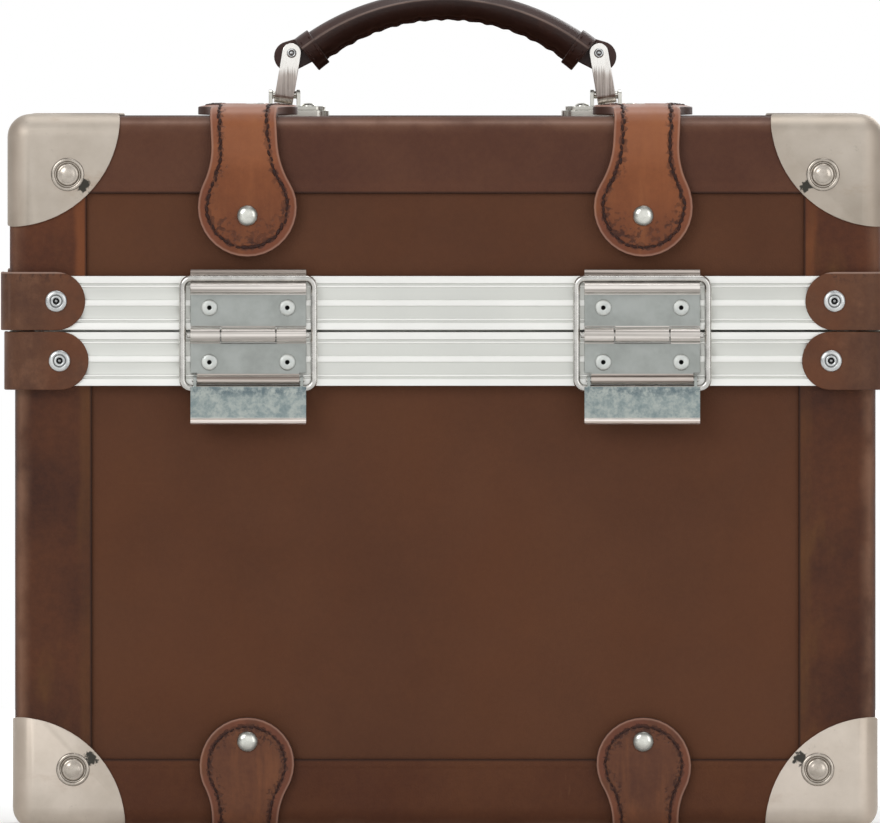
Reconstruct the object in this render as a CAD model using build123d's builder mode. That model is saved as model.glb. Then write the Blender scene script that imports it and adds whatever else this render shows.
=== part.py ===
from build123d import *
import os
from math import cos, hypot, radians, sin, sqrt, tan

# Cosmetic case: a plywood box covered in leather, with an aluminium rim in two
# halves, bail latches in front, hinges behind and a folding carrying handle.
# Millimetres. The front looks along -Y, +Z is up, and the case stands on the
# four leather patches under its bottom edges.

# Leather body
lid_width = 339.0
lid_depth = 220.0
lid_leather_height = 62.1
base_step_side = 2.0
base_step_front = 1.5
base_leather_height = 171.9
edge_radius = 8.0

# Layers of the walls, from the outside in
binding_thickness = 1.5
cover_thickness = 1.2
plywood_thickness = 5.0
lining_thickness = 1.5

# Leather binding round the edges
lid_border = 30.1
base_border = 30.1
base_bottom_border = 26.7
binding_under_rim = 2.0

# Aluminium rim
rim_height = 20.9
parting_gap = 0.9
rim_proud = 2.0
base_rim_step = 1.3
rim_relief = 0.8
rim_lip_height = 2.8
rim_line_height = 0.8
rim_ridge_height = 2.3
rim_groove_inset = 18.0
rim_flange = 1.6
rim_leg = 1.2
rim_leg_height = 6.0
dust_lip_height = 4.0

# Leather wraps over the corners of the rim
wrap_thickness = 1.5
wrap_reach = 33.0
wrap_overhang = 1.6
wrap_past_parting = 0.2

# Metal corners
corner_proud = 0.9
corner_reach = 43.0
corner_rivet_inset = 22.6

# Leather patches over the top and bottom edges
patch_thickness = 3.0
patch_spacing = 154.0
patch_waist = 26.0
lid_patch_neck = 10.0
lid_patch_radius = 19.4
lid_patch_reach = 54.7
lid_patch_rivet_inset = 16.1
base_patch_neck = 2.0
base_patch_radius = 18.6
base_patch_reach = 43.0
base_patch_rivet_inset = 9.5
patch_fold_depth = 12.0
patch_shoulder_angle = 30.0

# Rivets
head_sides = 12
dome_shoulder_ratio = 0.8
dome_rise_ratio = 0.6
dome_crown_ratio = 0.35
flat_crown_ratio = 0.75
dome_radius = 4.3
dome_height = 1.8
wrap_rivet_radius = 4.2
leaf_rivet_radius = 3.2
flat_head_height = 1.2
rivet_hole_clearance = 0.05

# Hinges and latches
latch_spacing = 153.2
leaf_width = 45.0
leaf_thickness = 1.5
leaf_rivet_span = 30.3
leaf_rivet_rise = 21.2
rear_leaf_inset = 1.5
knuckle_radius = 2.95
knuckle_middle = 21.0
knuckle_gap = 0.5
knuckle_below_parting = 1.55
pin_radius = 1.2
pin_clearance = 0.05
pin_length = 47.6
body_clearance = 0.3
lid_open_angle = 100.0
stop_width = 2.0
stop_reach = 4.8

# Hook, bail and lever of a latch
hook_radius = 2.15
hook_bore = 1.0
hook_into_leaf = 0.3
leaf_bead_radius = 1.0
hook_leaf_above_rim = 2.6
wire_radius = 1.35
wire_sides = 12
wire_clearance = 0.08
bail_width = 53.9
bail_corner = 3.5
bail_top_above_knuckle = 22.0
bail_top_out = 2.85
bail_foot_below_pivot = 3.31
bail_foot_in = 0.5
pivot_below_knuckle = 17.4
pivot_out = 2.8
pivot_radius = 0.9
pivot_roll_radius = 1.7
pivot_pin_length = 43.8
leaf_above_roll = 0.9
lever_width = 45.0
lever_thickness = 1.2
lever_behind_gap = 0.25
lever_above_foot = 0.6
lever_below_pivot = 17.1
lever_lip_radius = 1.1
lever_lip_bore = 0.5
ear_thickness = 1.2
ear_wall = 0.6
ear_inset = 0.7
ear_drop = 5.0

# Handle
handle_arc_radius = 87.5
handle_arc_drop = 43.6
handle_half_angle = 38.5
grip_thickness = 11.0
grip_depth = 16.0
core_thickness = 2.0
core_depth = 9.0
core_half_angle = 36.0
collar_length = 7.6
collar_thickness = 1.4
lug_reach = 5.83
lug_drop = 0.28
link_width = 7.4
link_thickness = 1.2
link_inner_radius = 2.3
link_lean = 9.6
link_above_rivet = 3.9
link_end_flat = 0.2
lug_radius = 6.2
lug_root_radius = 5.0
lug_root_inset = 8.8
lug_thickness = 4.4
link_rivet_radius = 1.5
link_rivet_head_radius = 2.3
link_rivet_head_height = 0.9
mount_bar_radius = 1.5
mount_plate_length = 32.0
mount_plate_depth = 14.0
mount_plate_thickness = 1.6
mount_plate_corner = 5.0
mount_pad_margin = 1.5
mount_pad_thickness = 2.2
mount_post_inset = 4.7
mount_post_thickness = 1.5
mount_post_wall = 0.6
mount_rivet_inset = 9.4
mount_rivet_radius = 2.8
mount_rivet_height = 1.3

# Sizes, heights and faces that several pieces share
base_width = lid_width - 2 * base_step_side
base_depth = lid_depth - 2 * base_step_front
lid_rim_width = lid_width + 2 * rim_proud
base_rim_width = lid_rim_width - 2 * base_rim_step
rim_depth = lid_depth + 2 * rim_proud
rim_front = rim_depth / 2
base_bottom = patch_thickness
base_rim_bottom = base_bottom + base_leather_height
base_rim_top = base_rim_bottom + rim_height
lid_rim_bottom = base_rim_top + parting_gap
lid_rim_top = lid_rim_bottom + rim_height
lid_top = lid_rim_top + lid_leather_height
knuckle_z = lid_rim_bottom - parting_gap / 2 - knuckle_below_parting
knuckle_y = rim_front + body_clearance + knuckle_radius
latch_centres = (-latch_spacing / 2, latch_spacing / 2)
far = 2 * lid_width

os.makedirs("parts", exist_ok=True)


def rounded_block(width, depth, low, high, radius, closed_end):
    """A block with round upright edges that is also round at its top or bottom."""
    with BuildPart() as block:
        with Locations((0, 0, low)):
            Box(width, depth, high - low, align=(Align.CENTER, Align.CENTER, Align.MIN))
        upright = block.edges().filter_by(Axis.Z)
        end = block.faces().sort_by(Axis.Z)[-1 if closed_end == "top" else 0]
        fillet(upright + end.edges(), radius)
    return block.part


def bevelled_block(width, depth, low, high, bevel, closed_end):
    """The same block with flat bevels, for layers that others cover."""
    with BuildPart() as block:
        with Locations((0, 0, low)):
            Box(width, depth, high - low, align=(Align.CENTER, Align.CENTER, Align.MIN))
        upright = block.edges().filter_by(Axis.Z)
        end = block.faces().sort_by(Axis.Z)[-1 if closed_end == "top" else 0]
        chamfer(upright + end.edges(), bevel)
    return block.part


def flat_head(radius, height):
    """A many-sided rivet head that seats on z = 0 and narrows to a flat face."""
    with BuildPart() as head:
        with BuildSketch():
            RegularPolygon(radius, head_sides)
        with BuildSketch(Plane.XY.offset(height)):
            RegularPolygon(flat_crown_ratio * radius, head_sides)
        loft(ruled=True)
    return head.part


def domed_head(radius, height):
    """A many-sided rivet head with a shoulder below its crown."""
    with BuildPart() as head:
        with BuildSketch():
            RegularPolygon(radius, head_sides)
        with BuildSketch(Plane.XY.offset(dome_rise_ratio * height)):
            RegularPolygon(dome_shoulder_ratio * radius, head_sides)
        with BuildSketch(Plane.XY.offset(height)):
            RegularPolygon(dome_crown_ratio * radius, head_sides)
        loft(ruled=True)
    return head.part


def facing_front(points, depth):
    """Planes on the front and the back face of the case, at each (x, z)."""
    planes = []
    for x, z in points:
        planes.append(Plane(origin=(x, -depth / 2, z), z_dir=(0, -1, 0)))
        planes.append(Plane(origin=(x, depth / 2, z), z_dir=(0, 1, 0)))
    return planes


# Solid blocks that give the surfaces of the leather layers
lid_outer = rounded_block(
    lid_width, lid_depth, lid_rim_bottom + rim_flange, lid_top, edge_radius, "top"
)
cover_bevel = edge_radius / 2
lid_under_binding = bevelled_block(
    lid_width - 2 * binding_thickness,
    lid_depth - 2 * binding_thickness,
    lid_rim_bottom + rim_flange,
    lid_top - binding_thickness,
    cover_bevel,
    "top",
)
wood_step = binding_thickness + cover_thickness
wood_bevel = cover_bevel - cover_thickness * (2 - sqrt(2))
lid_wood = bevelled_block(
    lid_width - 2 * wood_step,
    lid_depth - 2 * wood_step,
    lid_rim_bottom + rim_flange,
    lid_top - wood_step,
    wood_bevel,
    "top",
)
base_outer = rounded_block(
    base_width, base_depth, base_bottom, base_rim_top - rim_flange, edge_radius, "bottom"
)
base_under_binding = bevelled_block(
    base_width - 2 * binding_thickness,
    base_depth - 2 * binding_thickness,
    base_bottom + binding_thickness,
    base_rim_top - rim_flange,
    cover_bevel,
    "bottom",
)
base_wood = bevelled_block(
    base_width - 2 * wood_step,
    base_depth - 2 * wood_step,
    base_bottom + wood_step,
    base_rim_top - rim_flange,
    wood_bevel,
    "bottom",
)
wall = wood_step + plywood_thickness

# Lid: plywood, leather cover, leather binding and lining
with BuildPart() as lid_shell:
    add(lid_wood)
    with BuildSketch(Plane.XY.offset(lid_rim_bottom)):
        Rectangle(lid_width - 2 * wall, lid_depth - 2 * wall)
    extrude(amount=lid_top - wall - lid_rim_bottom, mode=Mode.SUBTRACT)
lid_shell.part.label = "lid_shell"
export_step(lid_shell.part, "parts/lid_shell.step")

with BuildPart() as lid_cover:
    add(lid_under_binding)
    add(lid_wood, mode=Mode.SUBTRACT)
lid_cover.part.label = "lid_cover"
export_step(lid_cover.part, "parts/lid_cover.step")

window_bottom = lid_rim_top - binding_under_rim
window_top = lid_top - lid_border
with BuildPart() as lid_binding:
    add(lid_outer)
    add(lid_under_binding, mode=Mode.SUBTRACT)
    with BuildSketch(Plane.XZ):
        with Locations((0, (window_bottom + window_top) / 2)):
            Rectangle(lid_width - 2 * lid_border, window_top - window_bottom)
    extrude(amount=far, both=True, mode=Mode.SUBTRACT)
    with BuildSketch(Plane.YZ):
        with Locations((0, (window_bottom + window_top) / 2)):
            Rectangle(lid_depth - 2 * lid_border, window_top - window_bottom)
    extrude(amount=far, both=True, mode=Mode.SUBTRACT)
    with BuildSketch(Plane.XY.offset(window_top)):
        Rectangle(lid_width - 2 * lid_border, lid_depth - 2 * lid_border)
    extrude(amount=far, mode=Mode.SUBTRACT)
lid_binding.part.label = "lid_binding"
export_step(lid_binding.part, "parts/lid_binding.step")

lid_leg_top = lid_rim_bottom + rim_leg_height
with BuildPart() as lid_lining:
    with BuildSketch(Plane.XY.offset(lid_leg_top)):
        Rectangle(lid_width - 2 * wall, lid_depth - 2 * wall)
    extrude(amount=lid_top - wall - lid_leg_top)
    inner_wall = wall + lining_thickness
    with BuildSketch(Plane.XY.offset(lid_leg_top)):
        Rectangle(lid_width - 2 * inner_wall, lid_depth - 2 * inner_wall)
    extrude(amount=lid_top - inner_wall - lid_leg_top, mode=Mode.SUBTRACT)
lid_lining.part.label = "lid_lining"
export_step(lid_lining.part, "parts/lid_lining.step")

# Base: the same four layers, open at the top
with BuildPart() as base_shell:
    add(base_wood)
    with BuildSketch(Plane.XY.offset(base_bottom + wall)):
        Rectangle(base_width - 2 * wall, base_depth - 2 * wall)
    extrude(amount=far, mode=Mode.SUBTRACT)
base_shell.part.label = "base_shell"
export_step(base_shell.part, "parts/base_shell.step")

with BuildPart() as base_cover:
    add(base_under_binding)
    add(base_wood, mode=Mode.SUBTRACT)
base_cover.part.label = "base_cover"
export_step(base_cover.part, "parts/base_cover.step")

base_window_bottom = base_bottom + base_bottom_border
base_window_top = base_rim_bottom + binding_under_rim
with BuildPart() as base_binding:
    add(base_outer)
    add(base_under_binding, mode=Mode.SUBTRACT)
    with BuildSketch(Plane.XZ):
        with Locations((0, (base_window_bottom + base_window_top) / 2)):
            Rectangle(base_width - 2 * base_border, base_window_top - base_window_bottom)
    extrude(amount=far, both=True, mode=Mode.SUBTRACT)
    with BuildSketch(Plane.YZ):
        with Locations((0, (base_window_bottom + base_window_top) / 2)):
            Rectangle(base_depth - 2 * base_border, base_window_top - base_window_bottom)
    extrude(amount=far, both=True, mode=Mode.SUBTRACT)
    with BuildSketch(Plane.XY.offset(base_window_bottom)):
        Rectangle(base_width - 2 * base_border, base_depth - 2 * base_border)
    extrude(amount=-far, mode=Mode.SUBTRACT)
base_binding.part.label = "base_binding"
export_step(base_binding.part, "parts/base_binding.step")

base_leg_bottom = base_rim_top - rim_leg_height
with BuildPart() as base_lining:
    with BuildSketch(Plane.XY.offset(base_bottom + wall)):
        Rectangle(base_width - 2 * wall, base_depth - 2 * wall)
    extrude(amount=base_leg_bottom - base_bottom - wall)
    with BuildSketch(Plane.XY.offset(base_bottom + inner_wall)):
        Rectangle(base_width - 2 * inner_wall, base_depth - 2 * inner_wall)
    extrude(amount=far, mode=Mode.SUBTRACT)
base_lining.part.label = "base_lining"
export_step(base_lining.part, "parts/base_lining.step")


def rim_half(body_width, body_depth, rim_width, low, flange_low, leg_low, leg_high):
    """Half of the rim: a band round the wall, a flange over the wall's edge and a
    leg inside the wall. The band's grooves end under the wraps."""
    corner = edge_radius + (rim_width - body_width) / 2
    groove_high = (rim_height - rim_ridge_height) / 2
    groove_height = groove_high - rim_lip_height
    line_rise = rim_lip_height + 1.5 * rim_line_height
    line_depth = rim_relief / 2
    with BuildPart() as rim:
        with BuildSketch(Plane.XY.offset(low)):
            RectangleRounded(rim_width, rim_depth, corner)
            RectangleRounded(body_width, body_depth, edge_radius, mode=Mode.SUBTRACT)
        extrude(amount=rim_height)
        with BuildSketch(Plane.XY.offset(flange_low)):
            RectangleRounded(rim_width, rim_depth, corner)
            Rectangle(body_width - 2 * wall, body_depth - 2 * wall, mode=Mode.SUBTRACT)
        extrude(amount=rim_flange)
        with BuildSketch(Plane.XY.offset(leg_low)):
            inner = wall + rim_leg
            Rectangle(body_width - 2 * wall, body_depth - 2 * wall)
            Rectangle(body_width - 2 * inner, body_depth - 2 * inner, mode=Mode.SUBTRACT)
        extrude(amount=leg_high - leg_low)
        sides = (
            (Plane.YZ, rim_depth / 2, rim_width / 2 - rim_groove_inset),
            (Plane.XZ, rim_width / 2, rim_depth / 2 - rim_groove_inset),
        )
        for across, face, reach in sides:
            with BuildSketch(across):
                for side in (-1, 1):
                    for rise in (-1, 1):
                        groove_z = low + rim_height / 2 + rise * (
                            rim_height / 2 - rim_lip_height - groove_height / 2
                        )
                        line_z = low + rim_height / 2 + rise * (rim_height / 2 - line_rise)
                        with Locations((side * (face - rim_relief / 2), groove_z)):
                            Rectangle(rim_relief, groove_height)
                        with Locations((side * (face - rim_relief + line_depth / 2), line_z)):
                            Rectangle(line_depth, rim_line_height, mode=Mode.SUBTRACT)
            extrude(amount=reach, both=True, mode=Mode.SUBTRACT)
    return rim


lid_rim = rim_half(
    lid_width,
    lid_depth,
    lid_rim_width,
    lid_rim_bottom,
    lid_rim_bottom,
    lid_rim_bottom,
    lid_leg_top,
)
lid_rim.part.label = "lid_rim"
export_step(lid_rim.part, "parts/lid_rim.step")

base_rim = rim_half(
    base_width,
    base_depth,
    base_rim_width,
    base_rim_bottom,
    base_rim_top - rim_flange,
    base_leg_bottom,
    base_rim_top + dust_lip_height,
)
base_rim.part.label = "base_rim"
export_step(base_rim.part, "parts/base_rim.step")


def rim_wraps(body_width, rim_width, low, high):
    """Leather tongues folded round the four upright corners of a rim half."""
    corner = edge_radius + (rim_width - body_width) / 2
    height = high - low
    tongue = 2 * wrap_reach + height
    outer_x = rim_width / 2 + wrap_thickness
    outer_y = rim_depth / 2 + wrap_thickness
    fold = patch_fold_depth
    with BuildPart() as mask:
        with BuildSketch(Plane.XZ.offset(outer_y - fold)):
            with Locations((outer_x - wrap_reach + tongue / 2, (low + high) / 2)):
                SlotOverall(tongue, height)
        extrude(amount=fold)
        with BuildSketch(Plane.YZ.offset(outer_x - fold)):
            with Locations((-outer_y + wrap_reach - tongue / 2, (low + high) / 2)):
                SlotOverall(tongue, height)
        extrude(amount=fold)
        mirror(about=Plane.XZ)
        mirror(about=Plane.YZ)
    with BuildPart() as wraps:
        with BuildSketch(Plane.XY.offset(low)):
            RectangleRounded(2 * outer_x, 2 * outer_y, corner + wrap_thickness)
            RectangleRounded(rim_width, rim_depth, corner, mode=Mode.SUBTRACT)
        extrude(amount=height)
        add(mask.part, mode=Mode.INTERSECT)
    rivet_x = outer_x - wrap_reach + height / 2
    rivet_z = (low + high) / 2
    with BuildPart() as rivets:
        with Locations(*facing_front([(-rivet_x, rivet_z), (rivet_x, rivet_z)], 2 * outer_y)):
            add(flat_head(wrap_rivet_radius, flat_head_height))
    return wraps, rivets


lid_wraps, lid_wrap_rivets = rim_wraps(
    lid_width, lid_rim_width, lid_rim_bottom - wrap_past_parting, lid_rim_top + wrap_overhang
)
lid_wraps.part.label = "lid_wraps"
export_step(lid_wraps.part, "parts/lid_wraps.step")
lid_wrap_rivets.part.label = "lid_wrap_rivets"
export_step(lid_wrap_rivets.part, "parts/lid_wrap_rivets.step")

base_wraps, base_wrap_rivets = rim_wraps(
    base_width, base_rim_width, base_rim_bottom - wrap_overhang, base_rim_top + wrap_past_parting
)
base_wraps.part.label = "base_wraps"
export_step(base_wraps.part, "parts/base_wraps.step")
base_wrap_rivets.part.label = "base_wrap_rivets"
export_step(base_wrap_rivets.part, "parts/base_wrap_rivets.step")


def metal_corners(body, width, depth, low, high, closed_end):
    """Four sheet metal corners, each the part of a thin shell over the case's
    surface that lies within one reach of its corner."""
    proud = corner_proud
    if closed_end == "top":
        shell_low, shell_high, corner_z, face_way = low, high + proud, high, 1
    else:
        shell_low, shell_high, corner_z, face_way = low - proud, high, low, -1
    shell = rounded_block(
        width + 2 * proud,
        depth + 2 * proud,
        shell_low,
        shell_high,
        edge_radius + proud,
        closed_end,
    )
    rivet_z = corner_z - face_way * corner_rivet_inset
    rivet_x = width / 2 - corner_rivet_inset
    planes = facing_front([(-rivet_x, rivet_z), (rivet_x, rivet_z)], depth + 2 * proud)
    with BuildPart() as balls:
        with Locations((0, 0, corner_z)):
            with GridLocations(width, depth, 2, 2):
                Sphere(corner_reach)
    with BuildPart() as corners:
        add(shell)
        add(body, mode=Mode.SUBTRACT)
        add(balls.part, mode=Mode.INTERSECT)
    with BuildPart() as rivets:
        with Locations(*planes):
            add(domed_head(dome_radius, dome_height))
    return corners, rivets


lid_corners, lid_corner_rivets = metal_corners(
    lid_outer, lid_width, lid_depth, lid_rim_top, lid_top, "top"
)
lid_corners.part.label = "lid_corners"
export_step(lid_corners.part, "parts/lid_corners.step")
lid_corner_rivets.part.label = "lid_corner_rivets"
export_step(lid_corner_rivets.part, "parts/lid_corner_rivets.step")

base_corners, base_corner_rivets = metal_corners(
    base_outer, base_width, base_depth, base_bottom, base_rim_bottom, "bottom"
)
base_corners.part.label = "base_corners"
export_step(base_corners.part, "parts/base_corners.step")
base_corner_rivets.part.label = "base_corner_rivets"
export_step(base_corner_rivets.part, "parts/base_corner_rivets.step")


def paddle(reach, radius, neck):
    """Half an hourglass: a neck at y = 0 that widens to a round end at y = -reach."""
    round_end = (0, -reach)
    centre = radius - reach
    start = (-patch_waist / 2, -neck)
    rise = radians(patch_shoulder_angle)
    shoulder = (-radius * cos(rise), centre + radius * sin(rise))
    side = (-radius * sqrt(0.5), centre - radius * sqrt(0.5))
    with BuildSketch() as shape:
        with BuildLine():
            Line((0, patch_fold_depth), (-patch_waist / 2, patch_fold_depth))
            Line((-patch_waist / 2, patch_fold_depth), start)
            TangentArc(start, shoulder, tangent=(0, -1))
            ThreePointArc(shoulder, side, round_end)
            Line(round_end, (0, patch_fold_depth))
        make_face()
        mirror(about=Plane.YZ)
    return shape.sketch


def leather_patches(binding, block, width, depth, edge_z, way, reach, radius, neck, rivet_inset):
    """Hourglass patches folded over the front and the back edge, with their rivets."""
    shape = paddle(reach, radius, neck)
    thick = patch_thickness
    fold = patch_fold_depth
    closed_end = "top" if way > 0 else "bottom"
    middle = (base_rim_bottom + lid_rim_top) / 2
    low, high = sorted([middle, edge_z + way * thick])
    shell = rounded_block(
        width + 2 * thick, depth + 2 * thick, low, high, edge_radius + thick, closed_end
    )
    centres = (-patch_spacing / 2, patch_spacing / 2)
    with BuildPart() as mask:
        for x in centres:
            front = (x, -depth / 2 - thick, edge_z)
            with BuildSketch(Plane(origin=front, x_dir=(way, 0, 0), z_dir=(0, -1, 0))):
                add(shape)
            extrude(amount=-fold)
            outside = (x, -depth / 2, edge_z + way * thick)
            with BuildSketch(Plane(origin=outside, x_dir=(-way, 0, 0), z_dir=(0, 0, way))):
                add(shape)
            extrude(amount=-fold)
        mirror(about=Plane.XZ)
    rivet_z = edge_z - way * (reach - rivet_inset)
    planes = facing_front([(x, rivet_z) for x in centres], depth + 2 * thick)
    if way > 0:
        for x in centres:
            for side in (-1, 1):
                y = side * (depth / 2 - reach + rivet_inset)
                planes.append(Plane(origin=(x, y, edge_z + thick), z_dir=(0, 0, 1)))
    with BuildPart() as patches:
        add(shell)
        add(mask.part, mode=Mode.INTERSECT)
        add(block, mode=Mode.SUBTRACT)
        add(binding, mode=Mode.SUBTRACT)
    with BuildPart() as rivets:
        with Locations(*planes):
            add(domed_head(dome_radius, dome_height))
    return patches, rivets


lid_patches, lid_patch_rivets = leather_patches(
    lid_binding.part,
    lid_under_binding,
    lid_width,
    lid_depth,
    lid_top,
    1,
    lid_patch_reach,
    lid_patch_radius,
    lid_patch_neck,
    lid_patch_rivet_inset,
)
lid_patches.part.label = "lid_patches"
export_step(lid_patches.part, "parts/lid_patches.step")
lid_patch_rivets.part.label = "lid_patch_rivets"
export_step(lid_patch_rivets.part, "parts/lid_patch_rivets.step")

base_patches, base_patch_rivets = leather_patches(
    base_binding.part,
    base_under_binding,
    base_width,
    base_depth,
    base_bottom,
    -1,
    base_patch_reach,
    base_patch_radius,
    base_patch_neck,
    base_patch_rivet_inset,
)
base_patches.part.label = "base_patches"
export_step(base_patches.part, "parts/base_patches.step")
base_patch_rivets.part.label = "base_patch_rivets"
export_step(base_patch_rivets.part, "parts/base_patch_rivets.step")


def upright_sheet(way, low, high, inner=rim_front):
    """The section of a leaf: a sheet that stands against the rim."""
    outer = rim_front + leaf_thickness
    with Locations((way * (inner + outer) / 2, (low + high) / 2)):
        Rectangle(outer - inner, high - low)


# Lid side of the hinges and latches. The front one opens downwards, so that it
# lifts off the pin, and carries the hook; the rear one turns on the pin.
leaf_bottom = knuckle_z + knuckle_radius + body_clearance
leaf_top = lid_rim_top + hook_leaf_above_rim
bail_top_z = knuckle_z + bail_top_above_knuckle
bail_top_y = rim_front + bail_top_out
hook_y = rim_front + leaf_thickness + hook_radius - hook_into_leaf
hook_reach = hook_radius + wire_radius + body_clearance
hook_z = bail_top_z - sqrt(hook_reach**2 - (bail_top_y - hook_y) ** 2)
pin_bore = pin_radius + pin_clearance
barrel_half = knuckle_middle / 2

with BuildPart() as front_lid_leaves:
    for x in latch_centres:
        with BuildSketch(Plane.YZ.offset(x)):
            upright_sheet(-1, leaf_bottom, leaf_top)
            with Locations((-rim_front - leaf_bead_radius, leaf_top - leaf_bead_radius)):
                Circle(leaf_bead_radius)
            with Locations((-hook_y, hook_z)):
                Circle(hook_radius)
                Circle(hook_bore, mode=Mode.SUBTRACT)
        extrude(amount=leaf_width / 2, both=True)
        with BuildSketch(Plane.YZ.offset(x)):
            upright_sheet(-1, knuckle_z, leaf_bottom, rim_front + body_clearance)
            with Locations((-knuckle_y, knuckle_z)):
                Circle(knuckle_radius)
                Circle(pin_bore, mode=Mode.SUBTRACT)
            with Locations((-knuckle_y, knuckle_z - knuckle_radius)):
                Rectangle(2 * pin_bore, 2 * knuckle_radius, mode=Mode.SUBTRACT)
        extrude(amount=barrel_half, both=True)
front_lid_leaves.part.label = "front_lid_leaves"
export_step(front_lid_leaves.part, "parts/front_lid_leaves.step")

# The stop on the rear knuckle meets the base leaf when the lid is fully open.
stop_middle = (stop_reach + knuckle_radius - hook_into_leaf) / 2
stop_from_leaf = knuckle_y - rim_front - leaf_thickness - body_clearance - stop_width / 2
stop_open = Vector(-stop_from_leaf, -stop_middle, 0)
stop_shut = stop_open.rotate(Axis.Z, lid_open_angle)
with BuildPart() as rear_lid_leaves:
    for x in latch_centres:
        with BuildSketch(Plane.YZ.offset(x)):
            upright_sheet(1, leaf_bottom, lid_rim_top - rear_leaf_inset)
        extrude(amount=leaf_width / 2, both=True)
        with BuildSketch(Plane.YZ.offset(x)):
            upright_sheet(1, knuckle_z, leaf_bottom, rim_front + body_clearance)
            with Locations((knuckle_y + stop_shut.X, knuckle_z + stop_shut.Y)):
                stop_size = stop_reach - knuckle_radius + 2 * hook_into_leaf
                Rectangle(stop_width, stop_size, rotation=lid_open_angle)
            with Locations((knuckle_y, knuckle_z)):
                Circle(knuckle_radius)
                Circle(pin_bore, mode=Mode.SUBTRACT)
        extrude(amount=barrel_half, both=True)
rear_lid_leaves.part.label = "rear_lid_leaves"
export_step(rear_lid_leaves.part, "parts/rear_lid_leaves.step")

# Base side of the hinges and latches, whose two outer barrels hold the pin
pivot_y = rim_front + pivot_out
pivot_z = knuckle_z - pivot_below_knuckle
foot_y = pivot_y - bail_foot_in
foot_z = pivot_z - bail_foot_below_pivot
base_leaf_top = knuckle_z - knuckle_radius - body_clearance
front_leaf_bottom = pivot_z + pivot_roll_radius + leaf_above_roll
ear_outer = bail_width / 2 - wire_radius - bail_corner - ear_inset
ear_inner = ear_outer - ear_thickness


def base_leaves(way, low):
    """Two leaves on the base, each with its two outer barrels."""
    first = barrel_half + knuckle_gap
    with BuildPart() as leaves:
        for x in latch_centres:
            with BuildSketch(Plane.YZ.offset(x)):
                upright_sheet(way, low, base_leaf_top)
            extrude(amount=leaf_width / 2, both=True)
            for start in (x - leaf_width / 2, x + first):
                with BuildSketch(Plane.YZ.offset(start)):
                    upright_sheet(way, base_leaf_top, knuckle_z)
                    with Locations((way * knuckle_y, knuckle_z)):
                        Circle(knuckle_radius)
                        Circle(pin_bore, mode=Mode.SUBTRACT)
                extrude(amount=leaf_width / 2 - first)
    return leaves


with BuildPart() as front_base_leaves:
    add(base_leaves(-1, front_leaf_bottom).part)
    for x in latch_centres:
        with BuildSketch(Plane.YZ.offset(x)):
            upright_sheet(-1, pivot_z, front_leaf_bottom)
            with Locations((-pivot_y, pivot_z)):
                Circle(pivot_roll_radius)
                Circle(pivot_radius + pin_clearance, mode=Mode.SUBTRACT)
        extrude(amount=ear_inner - body_clearance, both=True)
front_base_leaves.part.label = "front_base_leaves"
export_step(front_base_leaves.part, "parts/front_base_leaves.step")

rear_base_leaves = base_leaves(1, base_rim_bottom + rear_leaf_inset)
rear_base_leaves.part.label = "rear_base_leaves"
export_step(rear_base_leaves.part, "parts/rear_base_leaves.step")

leaf_rivet_xs = []
for x in latch_centres:
    leaf_rivet_xs += [x - leaf_rivet_span / 2, x + leaf_rivet_span / 2]
leaf_face = 2 * (rim_front + leaf_thickness)
lid_rivet_z = knuckle_z + leaf_rivet_rise / 2
base_rivet_z = knuckle_z - leaf_rivet_rise / 2
with BuildPart() as lid_leaf_rivets:
    with Locations(*facing_front([(x, lid_rivet_z) for x in leaf_rivet_xs], leaf_face)):
        add(flat_head(leaf_rivet_radius, flat_head_height))
lid_leaf_rivets.part.label = "lid_leaf_rivets"
export_step(lid_leaf_rivets.part, "parts/lid_leaf_rivets.step")

with BuildPart() as base_leaf_rivets:
    with Locations(*facing_front([(x, base_rivet_z) for x in leaf_rivet_xs], leaf_face)):
        add(flat_head(leaf_rivet_radius, flat_head_height))
base_leaf_rivets.part.label = "base_leaf_rivets"
export_step(base_leaf_rivets.part, "parts/base_leaf_rivets.step")


def cross_pins(y, z, radius, length):
    """A pin along X in each of the two fittings."""
    with BuildPart() as pins:
        for x in latch_centres:
            with BuildSketch(Plane.YZ.offset(x)):
                with Locations((y, z)):
                    Circle(radius)
            extrude(amount=length / 2, both=True)
    return pins


front_knuckle_pins = cross_pins(-knuckle_y, knuckle_z, pin_radius, pin_length)
front_knuckle_pins.part.label = "front_knuckle_pins"
export_step(front_knuckle_pins.part, "parts/front_knuckle_pins.step")

rear_hinge_pins = cross_pins(knuckle_y, knuckle_z, pin_radius, pin_length)
rear_hinge_pins.part.label = "rear_hinge_pins"
export_step(rear_hinge_pins.part, "parts/rear_hinge_pins.step")

lever_pins = cross_pins(-pivot_y, pivot_z, pivot_radius, pivot_pin_length)
lever_pins.part.label = "lever_pins"
export_step(lever_pins.part, "parts/lever_pins.step")


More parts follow.
